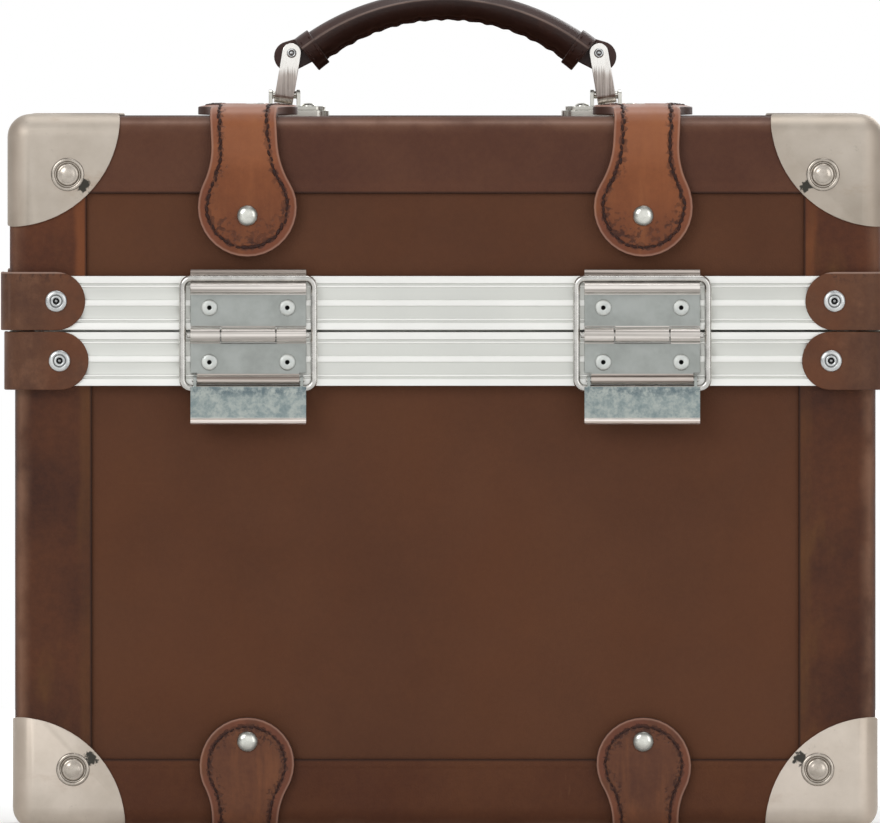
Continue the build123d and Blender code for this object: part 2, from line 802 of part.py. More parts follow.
def latch_lever(centre):
    """A lever: a plate with a rolled lip, and two ears for its pin and the bail."""
    plate_in = foot_y + wire_radius + lever_behind_gap
    plate_out = plate_in + lever_thickness
    plate_top = foot_z + lever_above_foot
    plate_bottom = pivot_z - lever_below_pivot
    with BuildPart() as lever:
        with BuildSketch(Plane.YZ.offset(centre)):
            with Locations((-(plate_in + plate_out) / 2, (plate_top + plate_bottom) / 2)):
                Rectangle(lever_thickness, plate_top - plate_bottom)
            with Locations((-plate_in - lever_lip_radius, plate_bottom + lever_lip_radius)):
                Circle(lever_lip_radius)
                Circle(lever_lip_bore, mode=Mode.SUBTRACT)
        extrude(amount=lever_width / 2, both=True)
        for start in (centre - ear_outer, centre + ear_inner):
            with BuildSketch(Plane.YZ.offset(start)):
                with Locations((-pivot_y, pivot_z)):
                    Circle(pivot_roll_radius)
                with Locations((-foot_y, foot_z)):
                    Circle(wire_radius + wire_clearance + ear_wall)
                with Locations((-(plate_in + plate_out) / 2, plate_top - ear_drop / 2)):
                    Rectangle(lever_thickness, ear_drop)
                make_hull()
                with Locations((-pivot_y, pivot_z)):
                    Circle(pivot_radius + pin_clearance, mode=Mode.SUBTRACT)
                with Locations((-foot_y, foot_z)):
                    Circle(wire_radius + wire_clearance, mode=Mode.SUBTRACT)
            extrude(amount=ear_thickness)
    return lever


left_lever = latch_lever(latch_centres[0])
left_lever.part.label = "left_lever"
export_step(left_lever.part, "parts/left_lever.step")

right_lever = latch_lever(latch_centres[1])
right_lever.part.label = "right_lever"
export_step(right_lever.part, "parts/right_lever.step")


def latch_bail(centre):
    """The closed wire loop that hangs in the lever's ears and hooks the lid: a
    quarter of it, mirrored twice."""
    foot = Vector(centre, -foot_y, foot_z)
    top = Vector(centre, -bail_top_y, bail_top_z)
    up = (top - foot).normalized()
    across = Vector(1, 0, 0)
    half_width = bail_width / 2 - wire_radius
    half_height = (top - foot).length / 2
    bend_x = half_width - bail_corner
    bend_y = half_height - bail_corner
    with BuildPart() as quarter:
        with BuildSketch(Plane.XZ):
            with Locations((half_width, 0)):
                RegularPolygon(wire_radius, wire_sides)
        extrude(amount=-bend_y)
        with BuildSketch(Plane.YZ):
            with Locations((half_height, 0)):
                RegularPolygon(wire_radius, wire_sides)
        extrude(amount=bend_x)
        with BuildSketch(Plane.XZ.offset(-bend_y)):
            with Locations((half_width, 0)):
                RegularPolygon(wire_radius, wire_sides)
        revolve(axis=Axis((bend_x, bend_y, 0), (0, 0, 1)), revolution_arc=90)
        mirror(about=Plane.XZ)
        mirror(about=Plane.YZ)
    with BuildPart() as bail:
        with Locations(Plane(origin=(foot + top) / 2, x_dir=across, z_dir=across.cross(up))):
            add(quarter.part)
    return bail


left_bail = latch_bail(latch_centres[0])
left_bail.part.label = "left_bail"
export_step(left_bail.part, "parts/left_bail.step")

right_bail = latch_bail(latch_centres[1])
right_bail.part.label = "right_bail"
export_step(right_bail.part, "parts/right_bail.step")

# Handle: its arc is centred below the lid's top, and it folds about the bars of
# its two mounts.
arc_z = lid_top - handle_arc_drop
link_rivet_x = handle_arc_radius * sin(radians(handle_half_angle)) + lug_reach
link_rivet_z = arc_z + handle_arc_radius * cos(radians(handle_half_angle)) - lug_drop
plate_top = lid_top + mount_pad_thickness + mount_plate_thickness
link_outer_radius = link_inner_radius + link_thickness
link_dip = link_width / 2 * sin(radians(link_lean))
fold_z = plate_top + link_outer_radius + link_dip + body_clearance
link_bottom_x = link_rivet_x + (link_rivet_z - fold_z) * tan(radians(link_lean))
link_length = hypot(link_bottom_x - link_rivet_x, link_rivet_z - fold_z)
arc_axis = Axis((0, 0, arc_z), (0, 1, 0))


def across_grip(angle):
    """The plane square to the grip at an angle from the middle of its arc."""
    turn = radians(angle)
    centre = (handle_arc_radius * sin(turn), 0, arc_z + handle_arc_radius * cos(turn))
    return Plane(origin=centre, x_dir=(0, 1, 0), z_dir=(cos(turn), 0, -sin(turn)))


with BuildPart() as handle_core:
    with BuildSketch(Plane.XZ):
        with BuildLine():
            inner = handle_arc_radius - core_thickness / 2
            outer = handle_arc_radius + core_thickness / 2
            start = 90 - core_half_angle
            first = CenterArc((0, arc_z), inner, start, 2 * core_half_angle)
            second = CenterArc((0, arc_z), outer, start, 2 * core_half_angle)
            Line(first @ 0, second @ 0)
            Line(first @ 1, second @ 1)
        make_face()
    extrude(amount=core_depth / 2, both=True)
handle_core.part.label = "handle_core"
export_step(handle_core.part, "parts/handle_core.step")

with BuildPart() as handle_grip:
    with BuildSketch(across_grip(-handle_half_angle)):
        Ellipse(grip_depth / 2, grip_thickness / 2)
    revolve(axis=arc_axis, revolution_arc=2 * handle_half_angle)
    for side in (-1, 1):
        with BuildSketch(Plane.XZ):
            with Locations((side * link_rivet_x, link_rivet_z)):
                Circle(lug_radius)
            root_x = link_rivet_x - lug_root_inset
            root_z = arc_z + sqrt(handle_arc_radius**2 - root_x**2)
            with Locations((side * root_x, root_z)):
                Circle(lug_root_radius)
            make_hull()
        extrude(amount=lug_thickness / 2, both=True)
        with BuildSketch(Plane.XZ):
            with Locations((side * link_rivet_x, link_rivet_z)):
                Circle(link_rivet_radius + rivet_hole_clearance)
        extrude(amount=grip_depth, both=True, mode=Mode.SUBTRACT)
    add(handle_core.part, mode=Mode.SUBTRACT)
handle_grip.part.label = "handle_grip"
export_step(handle_grip.part, "parts/handle_grip.step")

collar_angle = collar_length / radians(handle_arc_radius)
with BuildPart() as handle_collars:
    for start in (-handle_half_angle, handle_half_angle - collar_angle):
        with BuildSketch(across_grip(start)):
            Ellipse(grip_depth / 2 + collar_thickness, grip_thickness / 2 + collar_thickness)
            Ellipse(grip_depth / 2, grip_thickness / 2, mode=Mode.SUBTRACT)
        revolve(axis=arc_axis, revolution_arc=collar_angle)
    add(handle_grip.part, mode=Mode.SUBTRACT)
handle_collars.part.label = "handle_collars"
export_step(handle_collars.part, "parts/handle_collars.step")

with BuildPart() as handle_links:
    for side in (-1, 1):
        lean = radians(link_lean)
        leg = link_length + link_above_rivet
        across_link = Plane(
            origin=(side * link_bottom_x, 0, fold_z),
            x_dir=(0, 1, 0),
            z_dir=(cos(lean), 0, side * sin(lean)),
        )
        with BuildSketch(across_link):
            Circle(link_outer_radius)
            with Locations((0, leg / 2)):
                Rectangle(2 * link_outer_radius, leg)
            Circle(link_inner_radius, mode=Mode.SUBTRACT)
            with Locations((0, leg / 2)):
                Rectangle(2 * link_inner_radius, leg, mode=Mode.SUBTRACT)
        extrude(amount=link_width / 2, both=True)
    across = handle_links.edges().filter_by(Axis.Y)
    ends = across.filter_by_position(Axis.Z, link_rivet_z, link_rivet_z + link_width)
    fillet(ends, (link_width - link_end_flat) / 2)
    with BuildSketch(Plane.XZ):
        for x in (-link_rivet_x, link_rivet_x):
            with Locations((x, link_rivet_z)):
                Circle(link_rivet_radius + rivet_hole_clearance)
    extrude(amount=grip_depth, both=True, mode=Mode.SUBTRACT)
handle_links.part.label = "handle_links"
export_step(handle_links.part, "parts/handle_links.step")

with BuildPart() as handle_rivets:
    for side in (-1, 1):
        with Locations(*facing_front([(side * link_rivet_x, link_rivet_z)], 2 * link_outer_radius)):
            add(flat_head(link_rivet_head_radius, link_rivet_head_height))
        with BuildSketch(Plane.XZ):
            with Locations((side * link_rivet_x, link_rivet_z)):
                Circle(link_rivet_radius)
        extrude(amount=link_outer_radius, both=True)
handle_rivets.part.label = "handle_rivets"
export_step(handle_rivets.part, "parts/handle_rivets.step")

mount_centres = [(-link_bottom_x, 0), (link_bottom_x, 0)]
mount_rivet_planes = []
for x in (-link_bottom_x, link_bottom_x):
    for side in (-1, 1):
        place = (x + side * mount_rivet_inset, 0, plate_top)
        mount_rivet_planes.append(Plane(origin=place, z_dir=(0, 0, 1)))

with BuildPart() as handle_pads:
    with BuildSketch(Plane.XY.offset(lid_top - binding_thickness)):
        with Locations(*mount_centres):
            RectangleRounded(
                mount_plate_length + 2 * mount_pad_margin,
                mount_plate_depth + 2 * mount_pad_margin,
                mount_plate_corner + mount_pad_margin,
            )
    extrude(amount=mount_pad_thickness + binding_thickness)
handle_pads.part.label = "handle_pads"
export_step(handle_pads.part, "parts/handle_pads.step")

with BuildPart() as handle_mounts:
    with BuildSketch(Plane.XY.offset(plate_top)):
        with Locations(*mount_centres):
            RectangleRounded(mount_plate_length, mount_plate_depth, mount_plate_corner)
    extrude(amount=-mount_plate_thickness)
    for x in (-link_bottom_x, link_bottom_x):
        post_half = mount_bar_radius + mount_post_wall
        for start in (-mount_post_inset - mount_post_thickness, mount_post_inset):
            with BuildSketch(Plane.YZ.offset(x + start)):
                with Locations((0, fold_z)):
                    Circle(post_half)
                with Locations((0, (plate_top + fold_z) / 2)):
                    Rectangle(2 * post_half, fold_z - plate_top)
            extrude(amount=mount_post_thickness)
        with BuildSketch(Plane.YZ.offset(x)):
            with Locations((0, fold_z)):
                Circle(mount_bar_radius)
        extrude(amount=mount_post_inset, both=True)
handle_mounts.part.label = "handle_mounts"
export_step(handle_mounts.part, "parts/handle_mounts.step")

with BuildPart() as handle_mount_rivets:
    with Locations(*mount_rivet_planes):
        add(domed_head(mount_rivet_radius, mount_rivet_height))
handle_mount_rivets.part.label = "handle_mount_rivets"
export_step(handle_mount_rivets.part, "parts/handle_mount_rivets.step")
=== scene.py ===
# %% [markdown]
# # A leather cosmetic case, dressed for a studio picture
# The construction model gives every piece its true size and place. This lesson loads it
# as a fixed frame, then adds what a construction model leaves out: rounded edges, hand
# stitching, turned rivets, worn leather and scuffed metal. Nothing is scaled or moved,
# so the joints of the frame still open the lid, the latches and the handle.

# %% Load the frame
import random
from math import cos, hypot, pi, radians, sin, sqrt

import bmesh
import bpy
from mathutils import Matrix, Vector


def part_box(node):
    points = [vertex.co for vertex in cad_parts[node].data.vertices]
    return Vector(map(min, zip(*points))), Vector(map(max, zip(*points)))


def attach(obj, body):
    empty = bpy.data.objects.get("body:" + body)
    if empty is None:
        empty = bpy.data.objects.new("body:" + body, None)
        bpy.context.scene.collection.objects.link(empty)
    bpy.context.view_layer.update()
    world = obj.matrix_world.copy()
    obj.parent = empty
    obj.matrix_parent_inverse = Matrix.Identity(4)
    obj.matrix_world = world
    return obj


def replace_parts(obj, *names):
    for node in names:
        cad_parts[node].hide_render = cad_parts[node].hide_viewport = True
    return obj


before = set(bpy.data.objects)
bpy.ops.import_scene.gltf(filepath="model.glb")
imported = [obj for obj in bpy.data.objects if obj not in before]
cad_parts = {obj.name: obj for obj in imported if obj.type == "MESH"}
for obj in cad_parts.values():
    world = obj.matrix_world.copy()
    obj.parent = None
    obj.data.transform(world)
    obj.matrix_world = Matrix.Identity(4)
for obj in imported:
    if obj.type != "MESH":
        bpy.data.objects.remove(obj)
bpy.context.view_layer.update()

MM = 0.001

# %% [markdown]
# The walls are covered in leather, and a second strip of leather, the binding, borders
# each face. The outer faces of the two bindings place all that lies on them.

# %% The outer faces of the lid and the base
lid_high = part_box("lid_binding")[1]
base_low, base_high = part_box("base_binding")
lid_half_y, base_half_y = lid_high.y, base_high.y
print("lid half width and depth in mm:", round(lid_high.x / MM, 1), round(lid_half_y / MM, 1))

# %% [markdown]
# ## The camera
# The photograph looks straight at the front from far away, from just above the top of the
# lid, so its lines don't converge. The same view comes from a very long lens. The lens
# follows from the width that the picture shows at the front face.


# %% Camera
def in_scene(name, data):
    """An object for the data, linked into the scene."""
    item = bpy.data.objects.new(name, data)
    bpy.context.scene.collection.objects.link(item)
    return item


camera_data = bpy.data.cameras.new("camera")
camera = in_scene("camera", camera_data)
bpy.context.scene.camera = camera
picture_width = 342.3 * MM
camera_distance, camera_rise = 12.0, 138 * MM
picture_centre = Vector((-2.06 * MM, -lid_half_y, 164.9 * MM))
camera.location = picture_centre + Vector((0, -camera_distance, camera_rise))
camera.rotation_euler = (picture_centre - camera.location).to_track_quat("-Z", "Y").to_euler()
camera_data.sensor_width = 36
camera_data.lens = camera_data.sensor_width * camera_distance / picture_width
camera_data.clip_start = 0.05
print("lens in mm:", round(camera_data.lens, 1))

# %% [markdown]
# ## Shader maths in plain Python
# A finish is a small calculation on the place of each point. One class wraps a node's
# output, so that such a calculation is written as an expression, and its `node` method
# makes every other kind of node: the settings first, then the values and links.


# %% A wrapper for shader sockets
def both_ways(operation):
    """The methods of an operator, for a wire on its left and for a wire on its right."""

    def forwards(self, other):
        return self.maths(operation, self, other)

    def backwards(self, other):
        return self.maths(operation, other, self)

    return forwards, backwards


class Wire:
    """The output of a node, and the tree that the node is in."""

    __add__, __radd__ = both_ways("ADD")
    __sub__, __rsub__ = both_ways("SUBTRACT")
    __mul__, __rmul__ = both_ways("MULTIPLY")
    __truediv__, __rtruediv__ = both_ways("DIVIDE")

    def __init__(self, tree, socket=None):
        self.tree = tree
        self.socket = socket

    def node(self, kind, settings, inputs, result=0):
        made = self.tree.nodes.new(kind)
        for name, value in settings.items():
            setattr(made, name, value)
        for name, value in inputs.items():
            if isinstance(value, Wire):
                self.tree.links.new(value.socket, made.inputs[name])
            else:
                made.inputs[name].default_value = value
        return Wire(self.tree, made.outputs[result])

    def maths(self, operation, first, second=0.0):
        return self.node("ShaderNodeMath", {"operation": operation}, {0: first, 1: second})

    def __abs__(self):
        return self.maths("ABSOLUTE", self)

    def __lt__(self, other):
        return self.maths("LESS_THAN", self, other)

    def root(self):
        return self.maths("SQRT", self)

    def lower(self, other):
        return self.maths("MINIMUM", self, other)

    def higher(self, other):
        return self.maths("MAXIMUM", self, other)

    def fade(self, start, end, low=0.0, high=1.0):
        """A soft step from low at start to high at end."""
        inputs = {"Value": self, 1: start, 2: end, 3: low, 4: high}
        return self.node("ShaderNodeMapRange", {"interpolation_type": "SMOOTHSTEP"}, inputs)

    def stretched(self, across, deep, up):
        """A place with each direction scaled, so that a pattern on it is stretched."""
        scale = {0: self, 1: (across, deep, up)}
        return self.node("ShaderNodeVectorMath", {"operation": "MULTIPLY"}, scale)

    def noise(self, scale, detail=4.0, roughness=0.55):
        inputs = {"Vector": self, "Scale": scale, "Detail": detail, "Roughness": roughness}
        return self.node("ShaderNodeTexNoise", {}, inputs)

    def cells(self, scale, feature="F1"):
        inputs = {"Vector": self, "Scale": scale}
        return self.node("ShaderNodeTexVoronoi", {"feature": feature}, inputs)

    def blend(self, first, second):
        """A colour that goes from first to second as this mask goes from 0 to 1. Each is a
        wire, or its red, green and blue as tint takes them."""
        first, second = [c if isinstance(c, Wire) else tint(*c) for c in (first, second)]
        return self.node("ShaderNodeMix", {"data_type": "RGBA"}, {0: self, 6: first, 7: second}, 2)

    def bump(self, distance, strength=1.0, normal=None):
        inputs = {"Height": self, "Distance": distance, "Strength": strength}
        if normal:
            inputs["Normal"] = normal
        return self.node("ShaderNodeBump", {}, inputs)


# %% Helpers that every finish uses
def tint(red, green, blue):
    """A colour as it is read off a screen, from 0 to 255, as the shader wants it."""
    linear = []
    for value in (red, green, blue):
        share = value / 255
        linear.append(share / 12.92 if share <= 0.04045 else ((share + 0.055) / 1.055) ** 2.4)
    return (*linear, 1.0)


def coated(colour, *coats):
    """Lays coats over a colour, one after the other. Each coat is the mask that shows it,
    then its red, green and blue."""
    for mask, *shade in coats:
        colour = mask.blend(colour, shade)
    return colour


def new_finish(name, metallic=0.0, **constants):
    """A material with its constants set on the shader, and the place of each point."""
    material = bpy.data.materials.new(name)
    material.use_nodes = True
    shader = material.node_tree.nodes["Principled BSDF"]
    shader.inputs["Metallic"].default_value = metallic
    for key, value in constants.items():
        shader.inputs[key.replace("_", " ")].default_value = value
    place = Wire(material.node_tree).node("ShaderNodeTexCoord", {}, {}, "Object")
    return material, shader, place


def split(place):
    """The x, y and z of a place."""
    apart = place.node("ShaderNodeSeparateXYZ", {}, {0: place})
    return [Wire(place.tree, apart.socket.node.outputs[i]) for i in range(3)]


def feed(shader, **wires):
    """Links each wire to the shader's socket of that name."""
    for name, wire in wires.items():
        wire.tree.links.new(wire.socket, shader.inputs[name.replace("_", " ")])


print("white reads as", tint(255, 255, 255))

# %% [markdown]
# ## Leather
# Waxed cowhide isn't one brown. Large soft clouds of wax and dirt lie under a fine pebble
# of grain, and where hands and shelves rub it, the wax is gone and it turns orange or
# grey. Clouds are noise a few centimetres wide, grain is a pattern of millimetre cells
# that only lifts the surface, and short pale streaks are noise stretched along one way.


# %% Leather's clouds, grain and scuffs
def hide(place, dark, light, cloud):
    """The colour of plain leather, from its dark to its light parts."""
    clouds = place.noise(cloud, 5.0, 0.6).fade(0.32, 0.68)
    pores = place.noise(420.0, 3.0, 0.7).fade(0.3, 0.7)
    return (clouds * 0.75 + pores * 0.25).blend(dark, light)


def pebbles(place, cell):
    """The height of the pebbled grain."""
    return place.stretched(1.0, 1.0, 0.8).cells(cell, "DISTANCE_TO_EDGE").fade(0.0, 0.35)


def scuffs(place, amount):
    """Short pale marks in two directions, as a mask."""
    rising = place.stretched(260.0, 260.0, 38.0).noise(1.0, 3.0, 0.6).fade(0.66, 0.78)
    lying = place.stretched(30.0, 240.0, 300.0).noise(1.0, 3.0, 0.6).fade(0.68, 0.8)
    patches = place.noise(22.0, 2.0).fade(0.45, 0.7)
    return rising.higher(lying) * patches * amount


# %% [markdown]
# The panels inside the borders are the plainest part of the case: dark brown, evenly
# waxed, with only slow changes of tone. They get the leather recipe with little scuffing.

# %% Panel leather
panel_leather, shader, place = new_finish("panel_leather", Specular_IOR_Level=0.16)
red = place.noise(14.0, 4.0, 0.6).fade(0.45, 0.7) * 0.16
dust = scuffs(place, 0.1) + place.noise(60.0, 6.0, 0.7).fade(0.55, 0.95) * 0.2
colour = hide(place, (85, 52, 35), (95, 59, 39), 11.0)
rough = pebbles(place, 900.0) * 0.55 + place.noise(160.0, 5.0, 0.65) * 0.9
feed(
    shader,
    Base_Color=coated(colour, (red, 104, 60, 36), (dust, 118, 78, 52)),
    Roughness=place.noise(30.0, 5.0).fade(0.3, 0.7, 0.52, 0.66),
    Normal=rough.bump(0.05 * MM, 0.9),
)
print("panels:", panel_leather.name)

# %% [markdown]
# The border is raised, so it takes the wear. On each face its distance from the nearest
# edge of the box is the middle one of three distances: the smallest is the depth under
# the face itself. With that distance the outer edge turns pale with wear and, on the level
# bands, takes a painted highlight; the inner lip turns orange, and a painted shade lies as a
# dark line where the lip meets the panel.


# %% Border leather
def border_leather(name, corner, way, border, tones, lip_shade, lip_wear, wear):
    """Leather of a raised border. corner holds half the box's width and depth and the
    height of its closed end, and way is 1 where that end is on top. tones are the dark and
    light colour of the upright bands, then of the level ones."""
    material, shader, place = new_finish(name, Specular_IOR_Level=0.2)
    half_x, half_y, end_z = corner
    x, y, z = split(place)
    in_x, in_y, in_z = half_x - abs(x), half_y - abs(y), way * (end_z - z)
    edge = in_x.lower(in_y).higher(in_x.higher(in_y).lower(in_z))
    upright = (in_z - in_x.higher(in_y)).fade(-3 * MM, 3 * MM)
    wobble = edge + place.noise(45.0, 3.0).fade(0.0, 1.0, -1.6 * MM, 1.6 * MM)
    upright_hide = hide(place, tones[0], tones[1], 20.0)
    level_hide = hide(place, tones[2], tones[3], 14.0)
    yellow = place.stretched(40.0, 40.0, 14.0).noise(1.0, 4.0, 0.65).fade(0.52, 0.75)
    rub = wobble.fade(7 * MM, 0.5 * MM) * place.noise(60.0, 4.0).fade(0.25, 0.6, 0.25, 1.0)
    # Painted highlight along the outer edge of the level bands, stronger where it is rubbed.
    ledge_highlight = edge.fade(4.2 * MM, 0.4 * MM) * (1.0 - upright) * (0.3 + 0.7 * rub)
    lip = wobble.fade(border - 6.0 * MM, border - 3.6 * MM)
    uneven = place.stretched(60.0, 60.0, 22.0).noise(1.0, 4.0).fade(0.3, 0.62, 0.15, 1.0)
    # Painted shade: a dark line in the step where the lip meets the panel.
    step_shade = edge.fade(border - 1.3 * MM, border - 0.3 * MM)
    colour = coated(
        upright.blend(level_hide, upright_hide),
        (yellow * upright * 0.55, 112, 76, 40),
        (rub * wear, 146, 108, 86),
        (ledge_highlight * 0.6, 190, 158, 146),
        (lip * uneven * (upright * (lip_wear - 0.06) + 0.06), *lip_shade),
        (scuffs(place, 0.4), 140, 104, 76),
        (step_shade * 0.85, 42, 22, 14),
    )
    folded = edge.fade(border - 4.2 * MM, border - 2.4 * MM).bump(0.3 * MM, 0.6)
    rough = pebbles(place, 850.0) * 0.5 + place.noise(150.0, 5.0, 0.65)
    feed(
        shader,
        Base_Color=colour,
        Roughness=place.noise(40.0, 5.0).fade(0.3, 0.7, 0.44, 0.6) - lip * 0.05,
        Normal=rough.bump(0.09 * MM, 0.9, folded),
    )
    return material


# The base's upright borders are as wide as the lid's, and its lowest one is narrower.
border, lowest_border = 30.1 * MM, 26.7 * MM
lid_corner = (lid_high.x, lid_half_y, lid_high.z)
base_corner = (base_high.x, base_half_y, base_low.z + lowest_border - border)
lid_tones = (76, 41, 26), (105, 60, 36), (80, 47, 35), (95, 60, 43)
base_tones = (59, 32, 22), (91, 53, 33), (79, 43, 26), (95, 56, 33)
lid_leather = border_leather(
    "lid_leather", lid_corner, 1, border, lid_tones, (120, 68, 38), 0.9, 0.5
)
base_leather = border_leather(
    "base_leather", base_corner, -1, border, base_tones, (96, 60, 32), 0.5, 0.8
)
print("border materials:", lid_leather.name, base_leather.name)

# %% [markdown]
# The straps over the edges are a lighter, redder hide. On the top straps light and shade are
# painted in: a painted highlight on the front just below the bend, painted shade low on the
# front, and pale painted light over the top near the fold. Their mesh carries how far each
# point lies from the strap's own outline, so their edges can be burnished dark and the line
# of stitching can sit in a pressed groove.

# %% Strap leather
stitch_inset = 3.7 * MM


def strap_leather(name, dark, light, sunlit=None):
    """sunlit is three heights in mm that paint light and shade on a strap: where the front of a
    strap is darkest with painted shade, where it is palest with a painted highlight, and where
    its top begins, past which it is painted pale."""
    material, shader, place = new_finish(name, Specular_IOR_Level=0.28)
    rim = place.node("ShaderNodeAttribute", {"attribute_name": "rim_distance"}, {}, "Fac")
    x, y, z = split(place)
    colour = hide(place, dark, light, 34.0)
    burnish = rim.fade(0.45 * MM, 0.0)
    if sunlit:
        low, high, over = sunlit
        cloudy = place.noise(50.0, 4.0, 0.6).fade(0.2, 0.7, 0.5, 1.0)
        near_fold = abs(y).fade(lid_half_y - 26 * MM, lid_half_y - 6 * MM)
        above = z.fade((over - 1) * MM, (over + 1) * MM) * near_fold
        # Painted light and shade: darker low on the front, a highlight band near the palest
        # height, and pale light over the top near the fold.
        colour = coated(
            colour,
            (z.fade(high * MM, low * MM) * cloudy * 0.55, 94, 50, 30),
            (z.fade((high - 6) * MM, (high + 6) * MM) * cloudy * 0.5, 166, 104, 70),
            (above * 0.55, 186, 142, 124),
        )
        burnish = burnish * (1.0 - above * 0.7)
    streaks = place.stretched(150.0, 150.0, 20.0).noise(1.0, 4.0, 0.6).fade(0.45, 0.75)
    outer = rim.fade(stitch_inset, stitch_inset - 0.8 * MM) * place.noise(90.0, 3.0).fade(0.3, 0.6)
    ragged = place.noise(520.0, 3.0).fade(0.3, 0.7, -0.6 * MM, 0.6 * MM)
    pressed = (abs(rim - stitch_inset) + ragged).fade(1.1 * MM, 0.4 * MM)
    trimmed = rim.fade(1.3 * MM, 0.5 * MM) * rim.fade(0.0, 0.5 * MM)
    colour = coated(
        colour,
        (streaks * 0.28, 160, 100, 60),
        (outer * 0.5, 118, 66, 50),
        (pressed * place.noise(260.0, 3.0).fade(0.3, 0.6, 0.35, 0.9), 52, 24, 15),
        (trimmed * 0.45, 178, 142, 124),
        (burnish * 0.85, 52, 30, 22),
        (scuffs(place, 0.3), 170, 122, 88),
    )
    creases = place.noise(190.0, 5.0, 0.6) + place.cells(950.0).fade(0.1, 0.7) * 0.3
    feed(
        shader,
        Base_Color=colour,
        Roughness=place.noise(45.0, 4.0).fade(0.3, 0.7, 0.32, 0.5),
        Normal=creases.bump(0.07 * MM, 0.8, (1.0 - pressed).bump(0.25 * MM, 0.7)),
    )
    return material


top_strap_leather = strap_leather(
    "top_strap_leather", (110, 60, 33), (138, 79, 45), (228, 262, 281)
)
bottom_strap_leather = strap_leather("bottom_strap_leather", (86, 50, 34), (110, 67, 44))
print("strap materials:", top_strap_leather.name, bottom_strap_leather.name)

# %% [markdown]
# The tongues over the rim's corners are handled more. Where they fold round the corner of
# the case a patchy grey-pink painted highlight lies on them, and their upper cut edge is
# pale with a painted highlight. The distances from the sides of the case find that fold.


# %% Tongue leather
def rubbed_hide(place, dark, light, worn):
    """The colour of leather that hands have rubbed in patches."""
    rubbed = place.noise(85.0, 5.0, 0.65).fade(0.52, 0.8)
    colour = hide(place, dark, light, 34.0)
    return coated(colour, (rubbed * 0.5, *worn), (scuffs(place, 0.4), *worn))


def wrinkles(place):
    """The bump of soft, much bent leather."""
    height = place.noise(230.0, 5.0, 0.62) + place.cells(1100.0).fade(0.1, 0.7) * 0.35
    return height.bump(0.07 * MM, 0.9)


tongue_leather, shader, place = new_finish("tongue_leather", Specular_IOR_Level=0.25)
x, y, z = split(place)
tongue_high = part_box("lid_wraps")[1]
in_x, in_y, in_z = tongue_high.x - abs(x), tongue_high.y - abs(y), tongue_high.z - z
tip = in_x.fade(12 * MM, 24 * MM) * place.noise(70.0, 4.0).fade(0.3, 0.6)
soot = place.noise(300.0, 4.0, 0.7).fade(0.5, 0.62) * in_z.fade(6 * MM, 0.0)
# Painted highlight, in patches, where the tongue folds round the corner of the case.
folded = in_x.higher(in_y).fade(4.5 * MM, 0.8 * MM) * place.noise(75.0, 4.0).fade(0.25, 0.6)
colour = coated(
    rubbed_hide(place, (80, 50, 36), (107, 71, 50), (136, 96, 72)),
    (tip * 0.5, 108, 62, 36),
    (soot * 0.6, 50, 34, 30),
    # Painted highlight along the upper cut edge.
    (in_z.fade(0.9 * MM, 0.4 * MM) * 0.6, 176, 148, 134),
    (folded * 0.55, 168, 140, 128),
)
roughness = place.noise(50.0, 4.0).fade(0.3, 0.7, 0.44, 0.6)
feed(shader, Base_Color=colour, Roughness=roughness, Normal=wrinkles(place))
print("tongues:", tongue_leather.name)

# %% Waxed thread
waxed_thread, shader, place = new_finish("waxed_thread", Specular_IOR_Level=0.3)
strands = place.noise(2200.0, 2.0).fade(0.3, 0.7)
feed(
    shader,
    Base_Color=strands.blend((34, 16, 12), (62, 30, 20)),
    Roughness=strands * 0.2 + 0.5,
    Normal=strands.bump(0.05 * MM, 0.8),
)
print("thread:", waxed_thread.name)

# %% [markdown]
# ## Metals
# All the metals share a plan: a base colour with slow stains, brushed or rolled lines that
# change the roughness, and fine scratches in the bump. What tells them apart is the tone
# and the direction of the lines: the rim is drawn, so its lines run along it; the corners
# are polished nickel with haze; the latches are zinc, clouded and bluish.


# %% Metals
def metal_surface(place, lines, stain):
    """The slow clouds of a metal, its rolled lines, and its scratched bump."""
    clouds = place.noise(stain, 6.0, 0.62).fade(0.3, 0.7)
    rolled = place.stretched(*lines).noise(1.0, 4.0, 0.6)
    fine = place.stretched(900.0, 900.0, 120.0).noise(1.0, 3.0, 0.7).fade(0.62, 0.72)
    return clouds, rolled, (rolled * 0.6 + fine * 0.25).bump(0.012 * MM, 0.9)


def metal(name, dark, light, low_rough, high_rough, lines, stain):
    """A plain metal, from its dark to its light parts and from gloss to haze."""
    material, shader, place = new_finish(name, 1.0)
    clouds, rolled, normal = metal_surface(place, lines, stain)
    tone = clouds * 0.7 + rolled * 0.3
    roughness = (clouds * 0.5 + rolled * 0.5).fade(0.2, 0.8, low_rough, high_rough)
    feed(shader, Base_Color=tone.blend(dark, light), Roughness=roughness, Normal=normal)
    return material


bright_nickel = metal(
    "bright_nickel", (196, 194, 186), (232, 230, 222), 0.12, 0.22, (120, 120, 120), 90.0
)
bright_steel = metal(
    "bright_steel", (184, 182, 178), (226, 224, 219), 0.16, 0.3, (60, 300, 300), 120.0
)
dark_steel = metal("dark_steel", (92, 92, 94), (126, 124, 122), 0.35, 0.5, (40, 700, 700), 50.0)
print("plain metals:", bright_nickel.name, bright_steel.name, dark_steel.name)

# %% [markdown]
# The rim is an extruded strip. Its lips and ridges are rubbed bright and its shallow
# grooves stay dull, so the tone follows how deep a point lies behind the outer face. The
# two halves differ in width, and each gets the finish for its own face.


